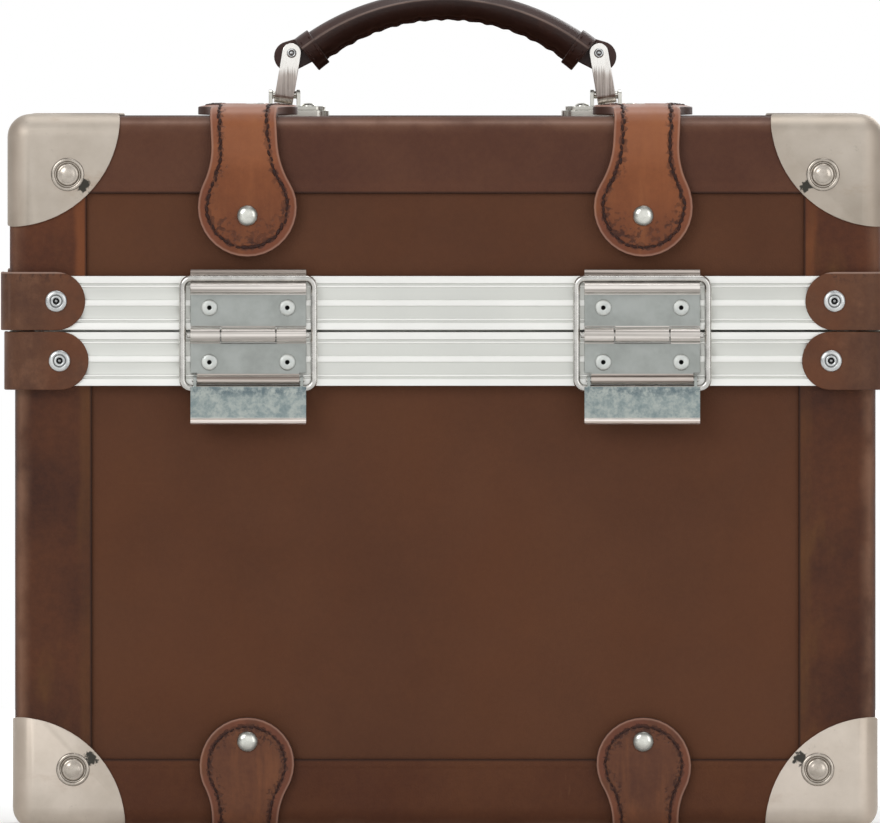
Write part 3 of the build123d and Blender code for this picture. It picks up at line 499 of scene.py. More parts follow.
# %% Drawn aluminium
def drawn_aluminium(name, node):
    """Aluminium that is dull where it lies deep behind the faces of a node."""
    material, shader, place = new_finish(name, 1.0)
    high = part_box(node)[1]
    x, y, z = split(place)
    deep = (high.x - abs(x)).lower(high.y - abs(y))
    clouds, rolled, normal = metal_surface(place, (3.0, 3.0, 2600.0), 26.0)
    tone = clouds * 0.4 + rolled * 0.6
    raised = tone.blend((240, 240, 236), (250, 250, 246))
    sunk = tone.blend((213, 214, 209), (223, 224, 218))
    feed(
        shader,
        Base_Color=deep.fade(0.45 * MM, 0.7 * MM).blend(raised, sunk),
        Roughness=tone.fade(0.2, 0.8, 0.36, 0.46),
        Normal=normal,
    )
    return material


upper_aluminium = drawn_aluminium("upper_aluminium", "lid_rim")
lower_aluminium = drawn_aluminium("lower_aluminium", "base_rim")
print("rim finishes:", upper_aluminium.name, lower_aluminium.name)

# %% [markdown]
# The corners are pressed from nickel-plated sheet. The plating is hazy and warm, browner
# towards the folded edges, with fine scratches, small pits and a dark spot beside each
# rivet, on the side towards the middle of the case.


# %% Hazy nickel of the corners
def corner_nickel(name, node, dark_spot, dark, light):
    """Hazy nickel. The third argument is how far the dark spot lies from the middle, and its
    height.
    """
    material, shader, place = new_finish(name, 1.0)
    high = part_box(node)[1]
    x, y, z = split(place)
    clouds, rolled, normal = metal_surface(place, (60.0, 60.0, 90.0), 20.0)
    fold = (high.x - abs(x)).higher(high.y - abs(y)).fade(9 * MM, 2 * MM)
    smears = place.stretched(30.0, 30.0, 70.0).noise(1.0, 5.0, 0.7).fade(0.55, 0.75)
    pits = place.noise(170.0, 5.0, 0.75).fade(0.62, 0.76) * clouds
    # A dark spot beside each rivet, on the side towards the middle of the case.
    aside, lift = abs(x) - dark_spot[0], z - dark_spot[1]
    ragged = place.noise(520.0, 3.0).fade(0.3, 0.7, -1.0 * MM, 1.0 * MM)
    spot = ((aside * aside + lift * lift).root() + ragged).fade(2.9 * MM, 1.9 * MM)
    colour = coated(
        (clouds * 0.7 + rolled * 0.3).blend(dark, light),
        (fold * 0.35, 196, 176, 158),
        (smears * 0.35, 168, 142, 118),
        (pits * 0.6, 128, 118, 106),
        (spot * 0.95, 54, 54, 50),
    )
    roughness = (clouds * 0.5 + rolled * 0.5).fade(0.2, 0.8, 0.46, 0.6)
    feed(shader, Base_Color=colour, Roughness=roughness, Normal=normal)
    return material


rivet_low, rivet_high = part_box("lid_corner_rivets")
upper_dark_spot = (-rivet_low.x - 10.6 * MM, rivet_low.z - 0.1 * MM)
upper_nickel = corner_nickel(
    "upper_nickel", "lid_corners", upper_dark_spot, (168, 156, 142), (206, 197, 186)
)
rivet_low, rivet_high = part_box("base_corner_rivets")
lower_dark_spot = (-rivet_low.x - 11.4 * MM, rivet_high.z + 0.1 * MM)
lower_nickel = corner_nickel(
    "lower_nickel", "base_corners", lower_dark_spot, (190, 178, 164), (230, 220, 209)
)
print("corner finishes:", upper_nickel.name, lower_nickel.name)

# %% [markdown]
# The latches and hinges are zinc-plated. Flat plate is a clouded grey, bluer on the levers,
# where the plating has run into blotches. Wherever the sheet is rolled, at the hook, the
# knuckles and the lever's lip, the roll's reflections are painted in: whiter and warmer bands
# with painted light and dark lines along the roll, and browner ones on the pin roll and the
# top of the hook. Those places are known by their heights on the case.


# %% Zinc plate
def zinc(name, painted_bright_rolls=(), painted_brown_rolls=(), lever_top=None):
    """Clouded zinc, with painted reflections on its rolls. The rolls are (low, high) heights in
    mm: bright ones, then brown ones. lever_top is the height in mm below which the plate is a
    lever, blotched with blue."""
    material, shader, place = new_finish(name, 1.0)
    x, y, z = split(place)
    clouds, rolled, normal = metal_surface(place, (200.0, 200.0, 160.0), 95.0)
    # Painted reflections: light and dark lines running along each roll.
    reflected_lines = place.stretched(6.0, 500.0, 1500.0).noise(1.0, 2.0, 0.4).fade(0.38, 0.62)
    colour = (clouds * 0.7 + rolled * 0.3).blend((152, 156, 152), (178, 182, 179))
    bright_reflection = reflected_lines.blend((178, 172, 166), (238, 232, 226))
    brown_reflection = reflected_lines.blend((138, 126, 118), (208, 198, 190))
    if lever_top:
        blotch = place.noise(230.0, 6.0, 0.75)
        blue = blotch.fade(0.3, 0.7).blend((126, 141, 143), (178, 184, 179))
        top = z.fade((lever_top - 5) * MM, (lever_top - 2) * MM) * blotch.fade(0.6, 0.4)
        top = top * z.fade((lever_top + 0.5) * MM, (lever_top - 1) * MM)
        colour = (z < lever_top * MM).blend(colour, coated(blue, (top * 0.65, 94, 109, 116)))
        bright_reflection = reflected_lines.blend((214, 200, 190), (254, 246, 240))
    soft = 0.15
    # Each roll is painted with its reflection, found by its heights on the case.
    for rolls, shade in ((painted_bright_rolls, bright_reflection), (painted_brown_rolls, brown_reflection)):
        for low, high in rolls:
            band = z.fade((low - soft) * MM, (low + soft) * MM)
            band = band * z.fade((high + soft) * MM, (high - soft) * MM)
            colour = band.blend(colour, shade)
    roughness = (clouds * 0.5 + rolled * 0.5).fade(0.2, 0.8, 0.34, 0.5)
    feed(shader, Base_Color=colour, Roughness=roughness, Normal=normal)
    return material


knuckles, hook, hook_top = (191.3, 198.2), (210.4, 216.6), (217.0, 221.0)
pin_roll, lever_lip = (175.6, 179.6), (159.0, 162.5)
latch_zinc = zinc("latch_zinc", (hook, knuckles), (pin_roll, hook_top))
lever_zinc = zinc("lever_zinc", (lever_lip,), lever_top=174.8)
hinge_zinc = zinc("hinge_zinc", (knuckles,))
print("zinc finishes:", latch_zinc.name, lever_zinc.name, hinge_zinc.name)

# %% [markdown]
# The flat straps that carry the handle were brushed along their length. Polish is left
# only round the rivet, where no hand or bench reaches: there they are nearly white.

# %% Brushed nickel of the handle's straps
brushed_nickel, shader, place = new_finish("brushed_nickel", 1.0)
x, y, z = split(place)
brushed = place.stretched(1300.0, 1300.0, 40.0).noise(1.0, 3.0, 0.6).fade(0.3, 0.7)
dull = brushed.blend((164, 155, 148), (216, 207, 200))
polished = (z + brushed * 2.5 * MM).fade(296.5 * MM, 300.5 * MM)
feed(
    shader,
    Base_Color=polished.blend(dull, (254, 252, 247)),
    Roughness=brushed * 0.1 + 0.26 - polished * 0.08,
    Normal=(brushed * (1.0 - polished)).bump(0.02 * MM, 0.8),
)
print("handle strap finish:", brushed_nickel.name)

# %% [markdown]
# Rivets carry an attribute of painted shade: it is 1 down in a hole or a groove of the head,
# and on the flanks of the domes it paints a dark reflection, so the finish darkens with it.


# %% Rivet metal
def rivet_metal(name, dark, light, low_rough, high_rough):
    """A metal that is painted black and dull where a rivet carries painted shade."""
    material, shader, place = new_finish(name, 1.0)
    painted_shade = place.node("ShaderNodeAttribute", {"attribute_name": "painted_shade"}, {}, "Fac")
    clouds, rolled, normal = metal_surface(place, (300.0, 300.0, 300.0), 300.0)
    # Painted shade in the holes and grooves, and dark painted rings on the domes' flanks.
    colour = coated((clouds * 0.6 + rolled * 0.4).blend(dark, light), (painted_shade, 34, 34, 34))
    roughness = clouds.fade(0.2, 0.8, low_rough, high_rough) + painted_shade * 0.3
    feed(shader, Base_Color=colour, Roughness=roughness, Normal=normal)
    return material


blind_rivet = rivet_metal("blind_rivet", (188, 191, 192), (226, 228, 227), 0.26, 0.38)
dull_rivet = rivet_metal("dull_rivet", (196, 200, 197), (224, 226, 222), 0.46, 0.6)
strap_rivet = rivet_metal("strap_rivet", (208, 208, 200), (238, 238, 230), 0.12, 0.22)
corner_rivet = rivet_metal("corner_rivet", (178, 168, 156), (208, 199, 188), 0.16, 0.26)
print("rivet finishes:", blind_rivet.name, dull_rivet.name, strap_rivet.name, corner_rivet.name)

# %% [markdown]
# ## Inside: plywood and cloth
# The box is thin birch plywood, and its inside is lined with a plain woven cloth. The cloth
# is seen only when the lid is up, and the ply hardly at all. The ply's face is a grain
# stretched along the wall, and the cloth is two sets of diagonal waves, laid crosswise.

# %% Plywood and lining cloth
birch_ply, shader, place = new_finish("birch_ply", Specular_IOR_Level=0.3)
fibres = place.stretched(12.0, 12.0, 260.0).noise(1.0, 6.0, 0.6)
specks = place.stretched(700.0, 700.0, 700.0).noise(0.6, 2.0)
tone = (fibres * 0.7 + specks * 0.3).fade(0.3, 0.7)
feed(
    shader,
    Base_Color=tone.blend((166, 126, 84), (206, 170, 124)),
    Roughness=fibres.fade(0.3, 0.7, 0.55, 0.7),
    Normal=fibres.bump(0.08 * MM, 0.8),
)

lining_cloth, shader, place = new_finish("lining_cloth", Specular_IOR_Level=0.2, Sheen_Weight=0.3)
diagonal, threads = {"bands_direction": "DIAGONAL"}, 420.0
warp = place.node("ShaderNodeTexWave", diagonal, {0: place, 1: threads})
mirrored = place.stretched(-1.0, 1.0, 1.0)
weave = warp * place.node("ShaderNodeTexWave", diagonal, {0: mirrored, 1: threads})
tone = (weave * 0.5 + place.noise(24.0, 4.0) * 0.5).fade(0.15, 0.65)
feed(
    shader,
    Base_Color=tone.blend((120, 96, 72), (158, 132, 102)),
    Roughness=tone.fade(0.0, 1.0, 0.78, 0.9),
    Normal=weave.bump(0.15 * MM, 0.7),
)
print("inside materials:", birch_ply.name, lining_cloth.name)

# %% [markdown]
# ## Honed copies of the frame's own pieces
# The rims, plates and borders already have the right shape, but their edges are knife
# sharp, and a sharp edge never catches the light. A copy of the mesh is merged, its flat
# faces are joined, and a narrow bevel rounds each edge. The copy then stands for the node.
#
# A few helpers do what every piece needs: turn a bmesh into an object that rides on a
# body, round its edges, cut it with a plane, and pick the vertices out of a result.


# %% Helpers for every piece
def mesh_of(form, name):
    """The mesh of a bmesh, which is then let go."""
    mesh = bpy.data.meshes.new(name)
    form.to_mesh(mesh)
    form.free()
    return mesh


def finished(form, name, material, body, slot, smooth_angle=40.0):
    """An object of the bmesh, in the scene, riding on a body."""
    mesh = mesh_of(form, name)
    mesh.materials.append(material)
    mesh.shade_smooth()
    mesh.set_sharp_from_angle(angle=radians(smooth_angle))
    piece = in_scene(name, mesh)
    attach(piece, body)
    return piece


def rounded(piece, width, steps, angle, clamp=True, harden=True):
    """A narrow bevel, width in mm, on every edge that turns by more than the angle."""
    rounding = piece.modifiers.new("rounded edges", "BEVEL")
    rounding.width, rounding.segments = width * MM, steps
    rounding.limit_method, rounding.angle_limit = "ANGLE", radians(angle)
    rounding.use_clamp_overlap, rounding.harden_normals = clamp, harden


def whole(form):
    return form.verts[:] + form.edges[:] + form.faces[:]


def verts_in(geometry):
    return [item for item in geometry if isinstance(item, bmesh.types.BMVert)]


def edges_in(geometry):
    return [item for item in geometry if isinstance(item, bmesh.types.BMEdge)]


def cut(form, place, across):
    """Cuts all faces with a plane through place, and gives the new vertices and edges."""
    return bmesh.ops.bisect_plane(
        form, geom=whole(form), dist=1e-6, plane_co=place, plane_no=across
    )["geom_cut"]


# %% Copy, merge and round
touching = 0.002 * MM
nearly_flat = radians(1.0)


def merged(node):
    """A bmesh of a node's faces, joined where they meet and where they are flat. A seam
    through the middle of the case both ways keeps a flat ring from closing into a disc."""
    form = bmesh.new()
    form.from_mesh(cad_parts[node].data)
    bmesh.ops.remove_doubles(form, verts=form.verts, dist=touching)
    for across in ((1, 0, 0), (0, 1, 0)):
        for edge in edges_in(cut(form, (0, 0, 0), across)):
            edge.seam = True
    bmesh.ops.dissolve_limit(
        form, angle_limit=nearly_flat, verts=form.verts, edges=form.edges, delimit={"SEAM"}
    )
    return form


def honed(node, name, body, material, slot, width, steps=2, angle=40.0):
    """A copy of a node with its edges rounded, width in mm."""
    piece = finished(merged(node), name, material, body, slot)
    rounded(piece, width, steps, angle, clamp=False)
    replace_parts(piece, node)


for row in (
    ("lid_rim", "rim_band_upper", "lid", upper_aluminium, "aluminium_rim", 0.12),
    ("base_rim", "rim_band_lower", "base", lower_aluminium, "aluminium_rim", 0.12),
    ("lid_binding", "border_upper", "lid", lid_leather, "leather_binding", 0.6, 3),
    ("base_binding", "border_lower", "base", base_leather, "leather_binding", 0.6, 3),
    ("lid_corners", "corner_caps_upper", "lid", upper_nickel, "nickel", 0.22),
    ("base_corners", "corner_caps_lower", "base", lower_nickel, "nickel", 0.22),
    ("lid_wraps", "tongues_upper", "lid", tongue_leather, "leather_wrap", 0.45, 3),
    ("base_wraps", "tongues_lower", "base", tongue_leather, "leather_wrap", 0.45, 3),
    ("front_lid_leaves", "latch_plates_upper", "lid", latch_zinc, "zinc", 0.15),
    ("front_base_leaves", "latch_plates_lower", "base", latch_zinc, "zinc", 0.15),
    ("rear_lid_leaves", "hinge_plates_upper", "lid", hinge_zinc, "zinc", 0.15),
    ("rear_base_leaves", "hinge_plates_lower", "base", hinge_zinc, "zinc", 0.15),
    ("front_knuckle_pins", "knuckle_pins", "base", bright_steel, "steel_wire", 0.3),
    ("rear_hinge_pins", "hinge_pins", "base", bright_steel, "steel_wire", 0.3),
    ("lever_pins", "lever_pivots", "base", bright_steel, "steel_wire", 0.2),
    ("left_lever", "left_lever_plate", "lever_left", lever_zinc, "zinc", 0.15),
    ("right_lever", "right_lever_plate", "lever_right", lever_zinc, "zinc", 0.15),
    ("handle_links", "handle_straps", "handle", brushed_nickel, "nickel", 0.2),
    ("handle_mounts", "handle_brackets", "lid", bright_nickel, "nickel", 0.25),
    ("handle_pads", "bracket_risers", "lid", bright_nickel, "nickel", 0.3),
    ("lid_lining", "lining_upper", "lid", lining_cloth, "lining", 0.3, 2, 50.0),
    ("base_lining", "lining_lower", "base", lining_cloth, "lining", 0.3, 2, 50.0),
):
    honed(*row)
print("honed:", len(bpy.data.meshes))

# %% Nodes that only need a better material
for node, material in (
    ("lid_shell", birch_ply),
    ("base_shell", birch_ply),
    ("lid_cover", panel_leather),
    ("base_cover", panel_leather),
    ("handle_core", dark_steel),
):
    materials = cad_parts[node].data.materials
    materials.clear()
    materials.append(material)
print("plain nodes dressed")

# %% [markdown]
# ## Rivets, turned on a lathe
# Every rivet is round, so its shape is one profile spun about an axis. The frame holds a
# plain many-sided head wherever a rivet sits. Each head is one island of its node's mesh:
# its thinnest direction is the way it faces, so the new rivet is spun once, then copied
# to each head and turned to face the same way.


# %% Find the heads and turn the rivets
def islands(form):
    """The separate groups of vertices in a bmesh, in the order of the mesh."""
    found = set()
    for start in form.verts:
        if start not in found:
            found.add(start)
            group = [start]
            for vert in group:
                for edge in vert.link_edges:
                    other = edge.other_vert(vert)
                    if other not in found:
                        found.add(other)
                        group.append(other)
            yield group


def head_places(node):
    """For each head in a node: a matrix that puts z = 0 on its seat, facing out."""
    form = merged(node)
    places = []
    for group in islands(form):
        low = Vector([min(v.co[i] for v in group) for i in range(3)])
        high = Vector([max(v.co[i] for v in group) for i in range(3)])
        size, centre = high - low, (low + high) / 2
        axis = min(range(3), key=lambda i: size[i])
        out = Vector((0, 0, 0))
        out[axis] = 1 if axis == 2 or centre[axis] > 0 else -1
        seat = centre - out * size[axis] / 2
        turn = out.to_track_quat("Z", "Y").to_matrix().to_4x4()
        places.append(Matrix.Translation(seat) @ turn)
    form.free()
    return places


def turned(profile, steps):
    """A profile of (radius, height, painted shade) points, in mm, spun about the z axis."""
    form = bmesh.new()
    layer = form.verts.layers.float.new("painted_shade")
    verts = []
    for radius, height, *painted_shade in profile:
        vert = form.verts.new((radius * MM, 0, height * MM))
        vert[layer] = painted_shade[0] if painted_shade else 0.0
        verts.append(vert)
    line = verts + [form.edges.new(pair) for pair in zip(verts, verts[1:])]
    around = {"cent": (0, 0, 0), "axis": (0, 0, 1), "angle": 2 * pi, "steps": steps}
    bmesh.ops.spin(form, geom=line, use_merge=True, **around)
    bmesh.ops.remove_doubles(form, verts=form.verts, dist=0.001 * MM)
    bmesh.ops.recalc_face_normals(form, faces=form.faces)
    return form


def copies(one, places):
    """A bmesh with a copy of a small one at each place, and the small one let go."""
    single = mesh_of(one, "single")
    form = bmesh.new()
    for place in places:
        first = len(form.verts)
        form.from_mesh(single)
        form.verts.ensure_lookup_table()
        bmesh.ops.transform(form, matrix=place, verts=form.verts[first:])
    bpy.data.meshes.remove(single)
    return form


def rivets(node, name, body, profile, material, slot, steps=32):
    """One piece with a turned rivet at each of a node's heads."""
    places = head_places(node)
    form = copies(turned(profile, steps), places)
    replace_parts(finished(form, name, material, body, slot, 50.0), node)
    print(name, len(places))


# %% [markdown]
# A blind rivet has a broad flange, a shallow ring where its mandrel was pulled and a hole
# in the middle. The rivets of the latch and hinge plates are smaller, with a plain hole. The
# others are smooth domes, and those in the metal corners sit in a ring that is pressed up
# from the sheet.

# %% Rivet profiles
# The third number of a profile point is its painted shade.
blind_profile = (
    (4.2, 0.0), (4.2, 0.35), (4.0, 0.65), (3.2, 0.98), (2.9, 1.02), (2.65, 0.92, 0.2),
    (2.45, 0.7, 0.75), (2.25, 0.7, 0.75), (2.05, 0.95, 0.1), (1.8, 1.05), (1.5, 1.0),
    (1.25, 0.8, 0.3), (1.15, 0.5, 1), (1.1, 0.1, 1), (0.7, 0.05, 1), (0.55, 0.3, 0.5),
    (0, 0.4, 0.4),
)
plate_profile = (
    (3.2, 0.0, 0.3), (3.2, 0.4), (3.0, 0.7), (2.4, 0.95), (1.5, 1.05), (1.0, 1.02),
    (0.85, 0.9, 0.5), (0.78, 0.6, 1), (0.7, 0.1, 1), (0, 0.1, 1),
)
dome_profile = (
    (4.1, 0.0, 0.6), (4.1, 0.12, 0.1), (3.95, 0.4, 0.25), (3.6, 0.8, 0.6), (3.2, 1.1, 0.5),
    (2.6, 1.42, 0.15), (1.9, 1.65), (1.0, 1.78), (0, 1.8),
)
corner_profile = (
    (6.5, 0.0, 0.7), (6.3, 0.25, 0.3), (5.95, 0.5), (5.6, 0.55), (5.25, 0.4, 0.2),
    (5.0, 0.15, 0.1), (4.85, 0.05), (4.6, 0.05, 0.2), (4.45, 0.25, 0.75), (4.2, 0.75, 0.3),
    (3.9, 1.05), (3.5, 1.2), (3.25, 1.18, 0.25), (3.0, 1.22, 0.1), (2.4, 1.45), (1.6, 1.7),
    (0.8, 1.78), (0, 1.8),
)
mount_profile = ((2.8, 0.0), (2.75, 0.25), (2.45, 0.7), (1.8, 1.08), (0.9, 1.27), (0, 1.3))

for node, name, profile, material, slot, steps in (
    ("wrap", "tongue", blind_profile, blind_rivet, "nickel", 32),
    ("leaf", "plate", plate_profile, dull_rivet, "zinc", 32),
    ("patch", "strap", dome_profile, strap_rivet, "nickel", 32),
    ("corner", "corner", corner_profile, corner_rivet, "nickel", 40),
):
    for body, level in (("lid", "upper"), ("base", "lower")):
        names = f"{body}_{node}_rivets", f"{name}_rivets_{level}"
        rivets(*names, body, profile, material, slot, steps)
rivets("handle_mount_rivets", "bracket_rivets", "lid", mount_profile, bright_nickel, "nickel")

# %% [markdown]
# The two rivets of the handle go right through, from strap to strap, so each is turned in
# one: a small head with a ring round its middle, a shank, and the same head behind.

# %% The handle's through rivets
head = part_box("handle_rivets")[1].y / MM
head_half = (
    (0, head - 0.1, 0.2), (0.5, head - 0.12, 0.2), (0.75, head - 0.3, 0.8),
    (0.95, head - 0.3, 0.8), (1.15, head - 0.05), (1.4, head, 0), (1.75, head - 0.2, 0.1),
    (1.9, head - 0.7, 0.6), (1.2, head - 0.8),
)
through_profile = head_half + tuple((p[0], -p[1], *p[2:]) for p in reversed(head_half))
form = merged("handle_rivets")
rivet_spots = [sum((v.co for v in group), Vector()) / len(group) for group in islands(form)]
form.free()
rivet_spots.sort(key=lambda spot: -spot.x)
lying = Matrix.Rotation(pi / 2, 4, "X")
places = [Matrix.Translation((spot.x, 0, spot.z)) @ lying for spot in rivet_spots]
form = copies(turned(through_profile, 24), places)
through_rivets = finished(form, "strap_end_rivets", blind_rivet, "handle", "nickel", 50.0)
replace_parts(through_rivets, "handle_rivets")
print("handle rivets at:", [tuple(round(c / MM, 1) for c in spot) for spot in rivet_spots])

# %% [markdown]
# ## The wire loops of the latches
# A bail is one wire bent into a closed rectangle. A circle is spun round each bend and
# extruded along each side. One quarter of the loop is enough: two mirrors make the rest,
# and the halves meet where the wire is straight.


# %% Wire loops
def wire_loop(node, name, body):
    """A closed loop of wire with the size and the lean of a node."""
    wire, bend = 1.35 * MM, 3.5 * MM
    low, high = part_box(node)
    form = merged(node)
    head_ys = [v.co.y for v in form.verts if v.co.z > high.z - 2 * wire]
    foot_ys = [v.co.y for v in form.verts if v.co.z < low.z + 2 * wire]
    form.free()
    middle_x = (low.x + high.x) / 2
    head = Vector((middle_x, (min(head_ys) + max(head_ys)) / 2, high.z - wire))
    foot = Vector((middle_x, (min(foot_ys) + max(foot_ys)) / 2, low.z + wire))
    bend_x = (high.x - low.x) / 2 - wire - bend
    bend_y = (head - foot).length / 2 - bend
    form = bmesh.new()
    upright = Matrix.Translation((bend_x + bend, 0, 0)) @ Matrix.Rotation(pi / 2, 4, "X")
    bmesh.ops.create_circle(form, segments=16, radius=wire, matrix=upright)
    side = bmesh.ops.extrude_edge_only(form, edges=form.edges[:])["geom"]
    ring = verts_in(side)
    bmesh.ops.translate(form, vec=(0, bend_y, 0), verts=ring)
    ring += [edge for edge in edges_in(side) if all(v in ring for v in edge.verts)]
    around = {"cent": (bend_x, bend_y, 0), "axis": (0, 0, 1), "angle": pi / 2, "steps": 8}
    bent = bmesh.ops.spin(form, geom=ring, **around)["geom_last"]
    across = bmesh.ops.extrude_edge_only(form, edges=edges_in(bent))["geom"]
    bmesh.ops.translate(form, vec=(-bend_x, 0, 0), verts=verts_in(across))
    for axis in ("X", "Y"):
        bmesh.ops.mirror(form, geom=whole(form), axis=axis, merge_dist=0.01 * MM)
    bmesh.ops.remove_doubles(form, verts=form.verts, dist=0.01 * MM)
    bmesh.ops.recalc_face_normals(form, faces=form.faces)
    right, up = Vector((1, 0, 0)), (head - foot).normalized()
    lean = Matrix((right, up, right.cross(up))).transposed().to_4x4()
    place = Matrix.Translation((head + foot) / 2) @ lean
    bmesh.ops.transform(form, matrix=place, verts=form.verts)
    piece = finished(form, name, bright_steel, body, "steel_wire", 60.0)
    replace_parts(piece, node)
    print(name, len(piece.data.polygons), "faces")


wire_loop("left_bail", "left_wire_loop", "bail_left")
wire_loop("right_bail", "right_wire_loop", "bail_right")

# %% [markdown]
# ## The straps over the top and bottom edges
# Each strap is an hourglass of thick leather, folded over the edge: a round paddle in
# front, a narrow waist at the fold, and a second paddle on top. It could be bent from a
# finished block, but a flat outline is easier to control.
# The outline is drawn flat, as one face. Insets give it rings of faces at known
# distances from the edge, cuts across and along let it bend, and its thickness is raised
# before it is wrapped round the box. On top, the sheet arches off the lid between its
# rivet and the fold, because thick leather doesn't crease sharply. Each strap also leans a
# little outwards at the fold, as sewn by hand.


# %% Straps: the outline
def paddle_half_width(place, reach, radius, waist, neck):
    """Half the width of the hourglass at a distance from the edge of the box."""
    centre = reach - radius
    shoulder = centre - radius / 2
    if place >= shoulder:
        return sqrt(max(radius**2 - (place - centre) ** 2, 0.0))
    if place <= neck:
        return waist
    rise = radius * cos(radians(30)) - waist
    run = shoulder - neck
    flare = (rise**2 + run**2) / (2 * rise)
    return waist + flare - sqrt(flare**2 - (place - neck) ** 2)


def strap_outline(shape):
    """Points (x, place) up the right side of a strap, then down its left side."""
    reach, radius = shape[:2]
    end = [reach - radius + radius * sin(radians(a)) for a in range(-20, 90, 10)]
    half = [end[0] * i / 12 for i in range(12)] + end
    places = [-p for p in reversed(half[1:])] + half
    right = [(paddle_half_width(abs(p), *shape), p) for p in places]
    return right + [(0.0, reach)] + [(-x, p) for x, p in reversed(right)] + [(0.0, -reach)]


def inwards(outline, distance):
    """The outline moved inwards by a distance."""
    moved = []
    for i, (x, p) in enumerate(outline):
        (ax, ap), (bx, bp) = outline[i - 1], outline[(i + 1) % len(outline)]
        length = hypot(bx - ax, bp - ap)
        moved.append((x - (bp - ap) / length * distance, p + (bx - ax) / length * distance))
    return moved


def gap_to(outline, x, p):
    """The distance from a point to the outline."""
    gaps = []
    for (ax, ap), (bx, bp) in zip(outline, outline[1:] + outline[:1]):
        dx, dp = bx - ax, bp - ap
        t = max(0.0, min(1.0, ((x - ax) * dx + (p - ap) * dp) / (dx * dx + dp * dp)))
        gaps.append(hypot(x - ax - t * dx, p - ap - t * dp))
    return min(gaps)


# %% [markdown]
# Wrapping is a plain map. A point has a place along the strap, measured from the sharp
# corner that the box would have without its rounded edge, and a lift above the leather.
# Before the corner it goes up the front, after it inwards over the top, and on the bend it
# turns with the edge.

# %% Straps: the wrap and the arch
strap_thickness = 3 * MM
inset_steps = (0.95, 0.9, 0.9, 0.9, 0.9, 0.9)
widest_rim = 5.5 * MM
bend_pitch, top_pitch, side_pitch = 1.6 * MM, 5 * MM, 3 * MM


class Fold:
    """Where a strap folds: the edge of the box, and how the leather lies over it. In front
    the strap starts to sink behind the border at sink_from."""

    def __init__(self, middle, half_depth, edge_z, way, shape, sink_from, arch, lean):
        self.middle, self.half_depth, self.edge_z, self.way = middle, half_depth, edge_z, way
        self.shape, self.sink_from, self.arch, self.lean = shape, sink_from, arch, lean
        self.bend, self.lean_ends = 8 * MM, 31 * MM

    def lift(self, x, p, top):
        """The height of the upper or the lower face above the border's surface."""
        if p < 0:
            sunk = 1.4 * MM if -p > self.sink_from else 0.0
            return strap_thickness if top else -sunk
        reach = self.shape[0]
        along = min(p / reach, 1.0)
        rise = sin(min(1.0, along * 2.6) * pi / 2) * (1 - max(0.0, along - 0.55) / 0.45) ** 0.5
        half = max(paddle_half_width(min(p, reach * 0.995), *self.shape), MM)
        curl = 1 - 0.6 * min(abs(x) / half, 1.0) ** 6
        return self.arch * rise * curl + (strap_thickness if top else 0.0)

    def point(self, x, p, lift):
        """The place in the case's own frame of a point on the flat strap."""
        if p < -self.bend:
            y, z = -self.half_depth - lift, self.edge_z + self.way * p
        elif p > self.bend:
            y, z = -self.half_depth + p, self.edge_z + self.way * lift
        else:
            angle = (p + self.bend) / (2 * self.bend) * pi / 2
            y = -self.half_depth + self.bend - (self.bend + lift) * cos(angle)
            z = self.edge_z - self.way * (self.bend - (self.bend + lift) * sin(angle))
        aside = self.lean * max(0.0, 1 - abs(p) / self.lean_ends)
        return Vector((self.middle + x + aside, y, z))


def strap(fold, name, body, material, rear):
    """One hourglass strap, folded over an edge."""
    outline = strap_outline(fold.shape)
    form = bmesh.new()
    face = form.faces.new([form.verts.new((x, p, 0)) for x, p in outline])
    for step in inset_steps:
        bmesh.ops.inset_individual(form, faces=[face], thickness=step * MM, use_even_offset=True)
    bend_cuts = [i * bend_pitch for i in range(-5, 6)]
    top_cuts = [i * top_pitch for i in range(3, 11)]
    for p in bend_cuts + top_cuts + [-fold.sink_from]:
        cut(form, (0, p, 0), (0, 1, 0))
    for i in range(-4, 5):
        cut(form, (i * side_pitch, 0, 0), (1, 0, 0))
    raised = bmesh.ops.extrude_face_region(form, geom=form.faces[:])["geom"]
    bmesh.ops.translate(form, vec=(0, 0, strap_thickness), verts=verts_in(raised))
    layer = form.verts.layers.float.new("rim_distance")
    for vert in form.verts:
        x, p, z = vert.co
        vert[layer] = min(gap_to(outline, x, p), widest_rim)
        vert.co = fold.point(x, p, fold.lift(x, p, z > strap_thickness / 2))
    if rear:
        bmesh.ops.scale(form, vec=(1, -1, 1), verts=form.verts)
    bmesh.ops.remove_doubles(form, verts=form.verts, dist=0.005 * MM)
    bmesh.ops.recalc_face_normals(form, faces=form.faces)
    piece = finished(form, name, material, body, "leather_patch", 50.0)
    rounded(piece, 0.6, 3, 60, harden=False)
    return piece


# %% [markdown]
# ## Hand stitching
# Waxed thread goes in and out of the leather, so each stitch shows as a short grain of
# thread between two holes, never quite in line with its neighbours. A line of points
# inside the outline is measured off at one pitch, and a small stretched ball is laid at
# each, pressed a little into the leather.

# %% Stitches
random.seed(11)
stitch_pitch, short_step = 2.5 * MM, 0.4 * MM


def spaced(points, pitch):
    """Points at one pitch along a closed line, each with the line's direction there."""
    line = points + points[:1]
    lengths = [0.0]
    for a, b in zip(line, line[1:]):
        lengths.append(lengths[-1] + (Vector(b) - Vector(a)).length)
    count = int(lengths[-1] / pitch)
    found = []
    segment = 0
    for i in range(count):
        wanted = (i + 0.5) * lengths[-1] / count
        while lengths[segment + 1] < wanted:
            segment += 1
        a, b = Vector(line[segment]), Vector(line[segment + 1])
        share = (wanted - lengths[segment]) / (lengths[segment + 1] - lengths[segment])
        found.append((a.lerp(b, share), (b - a).normalized()))
    return found


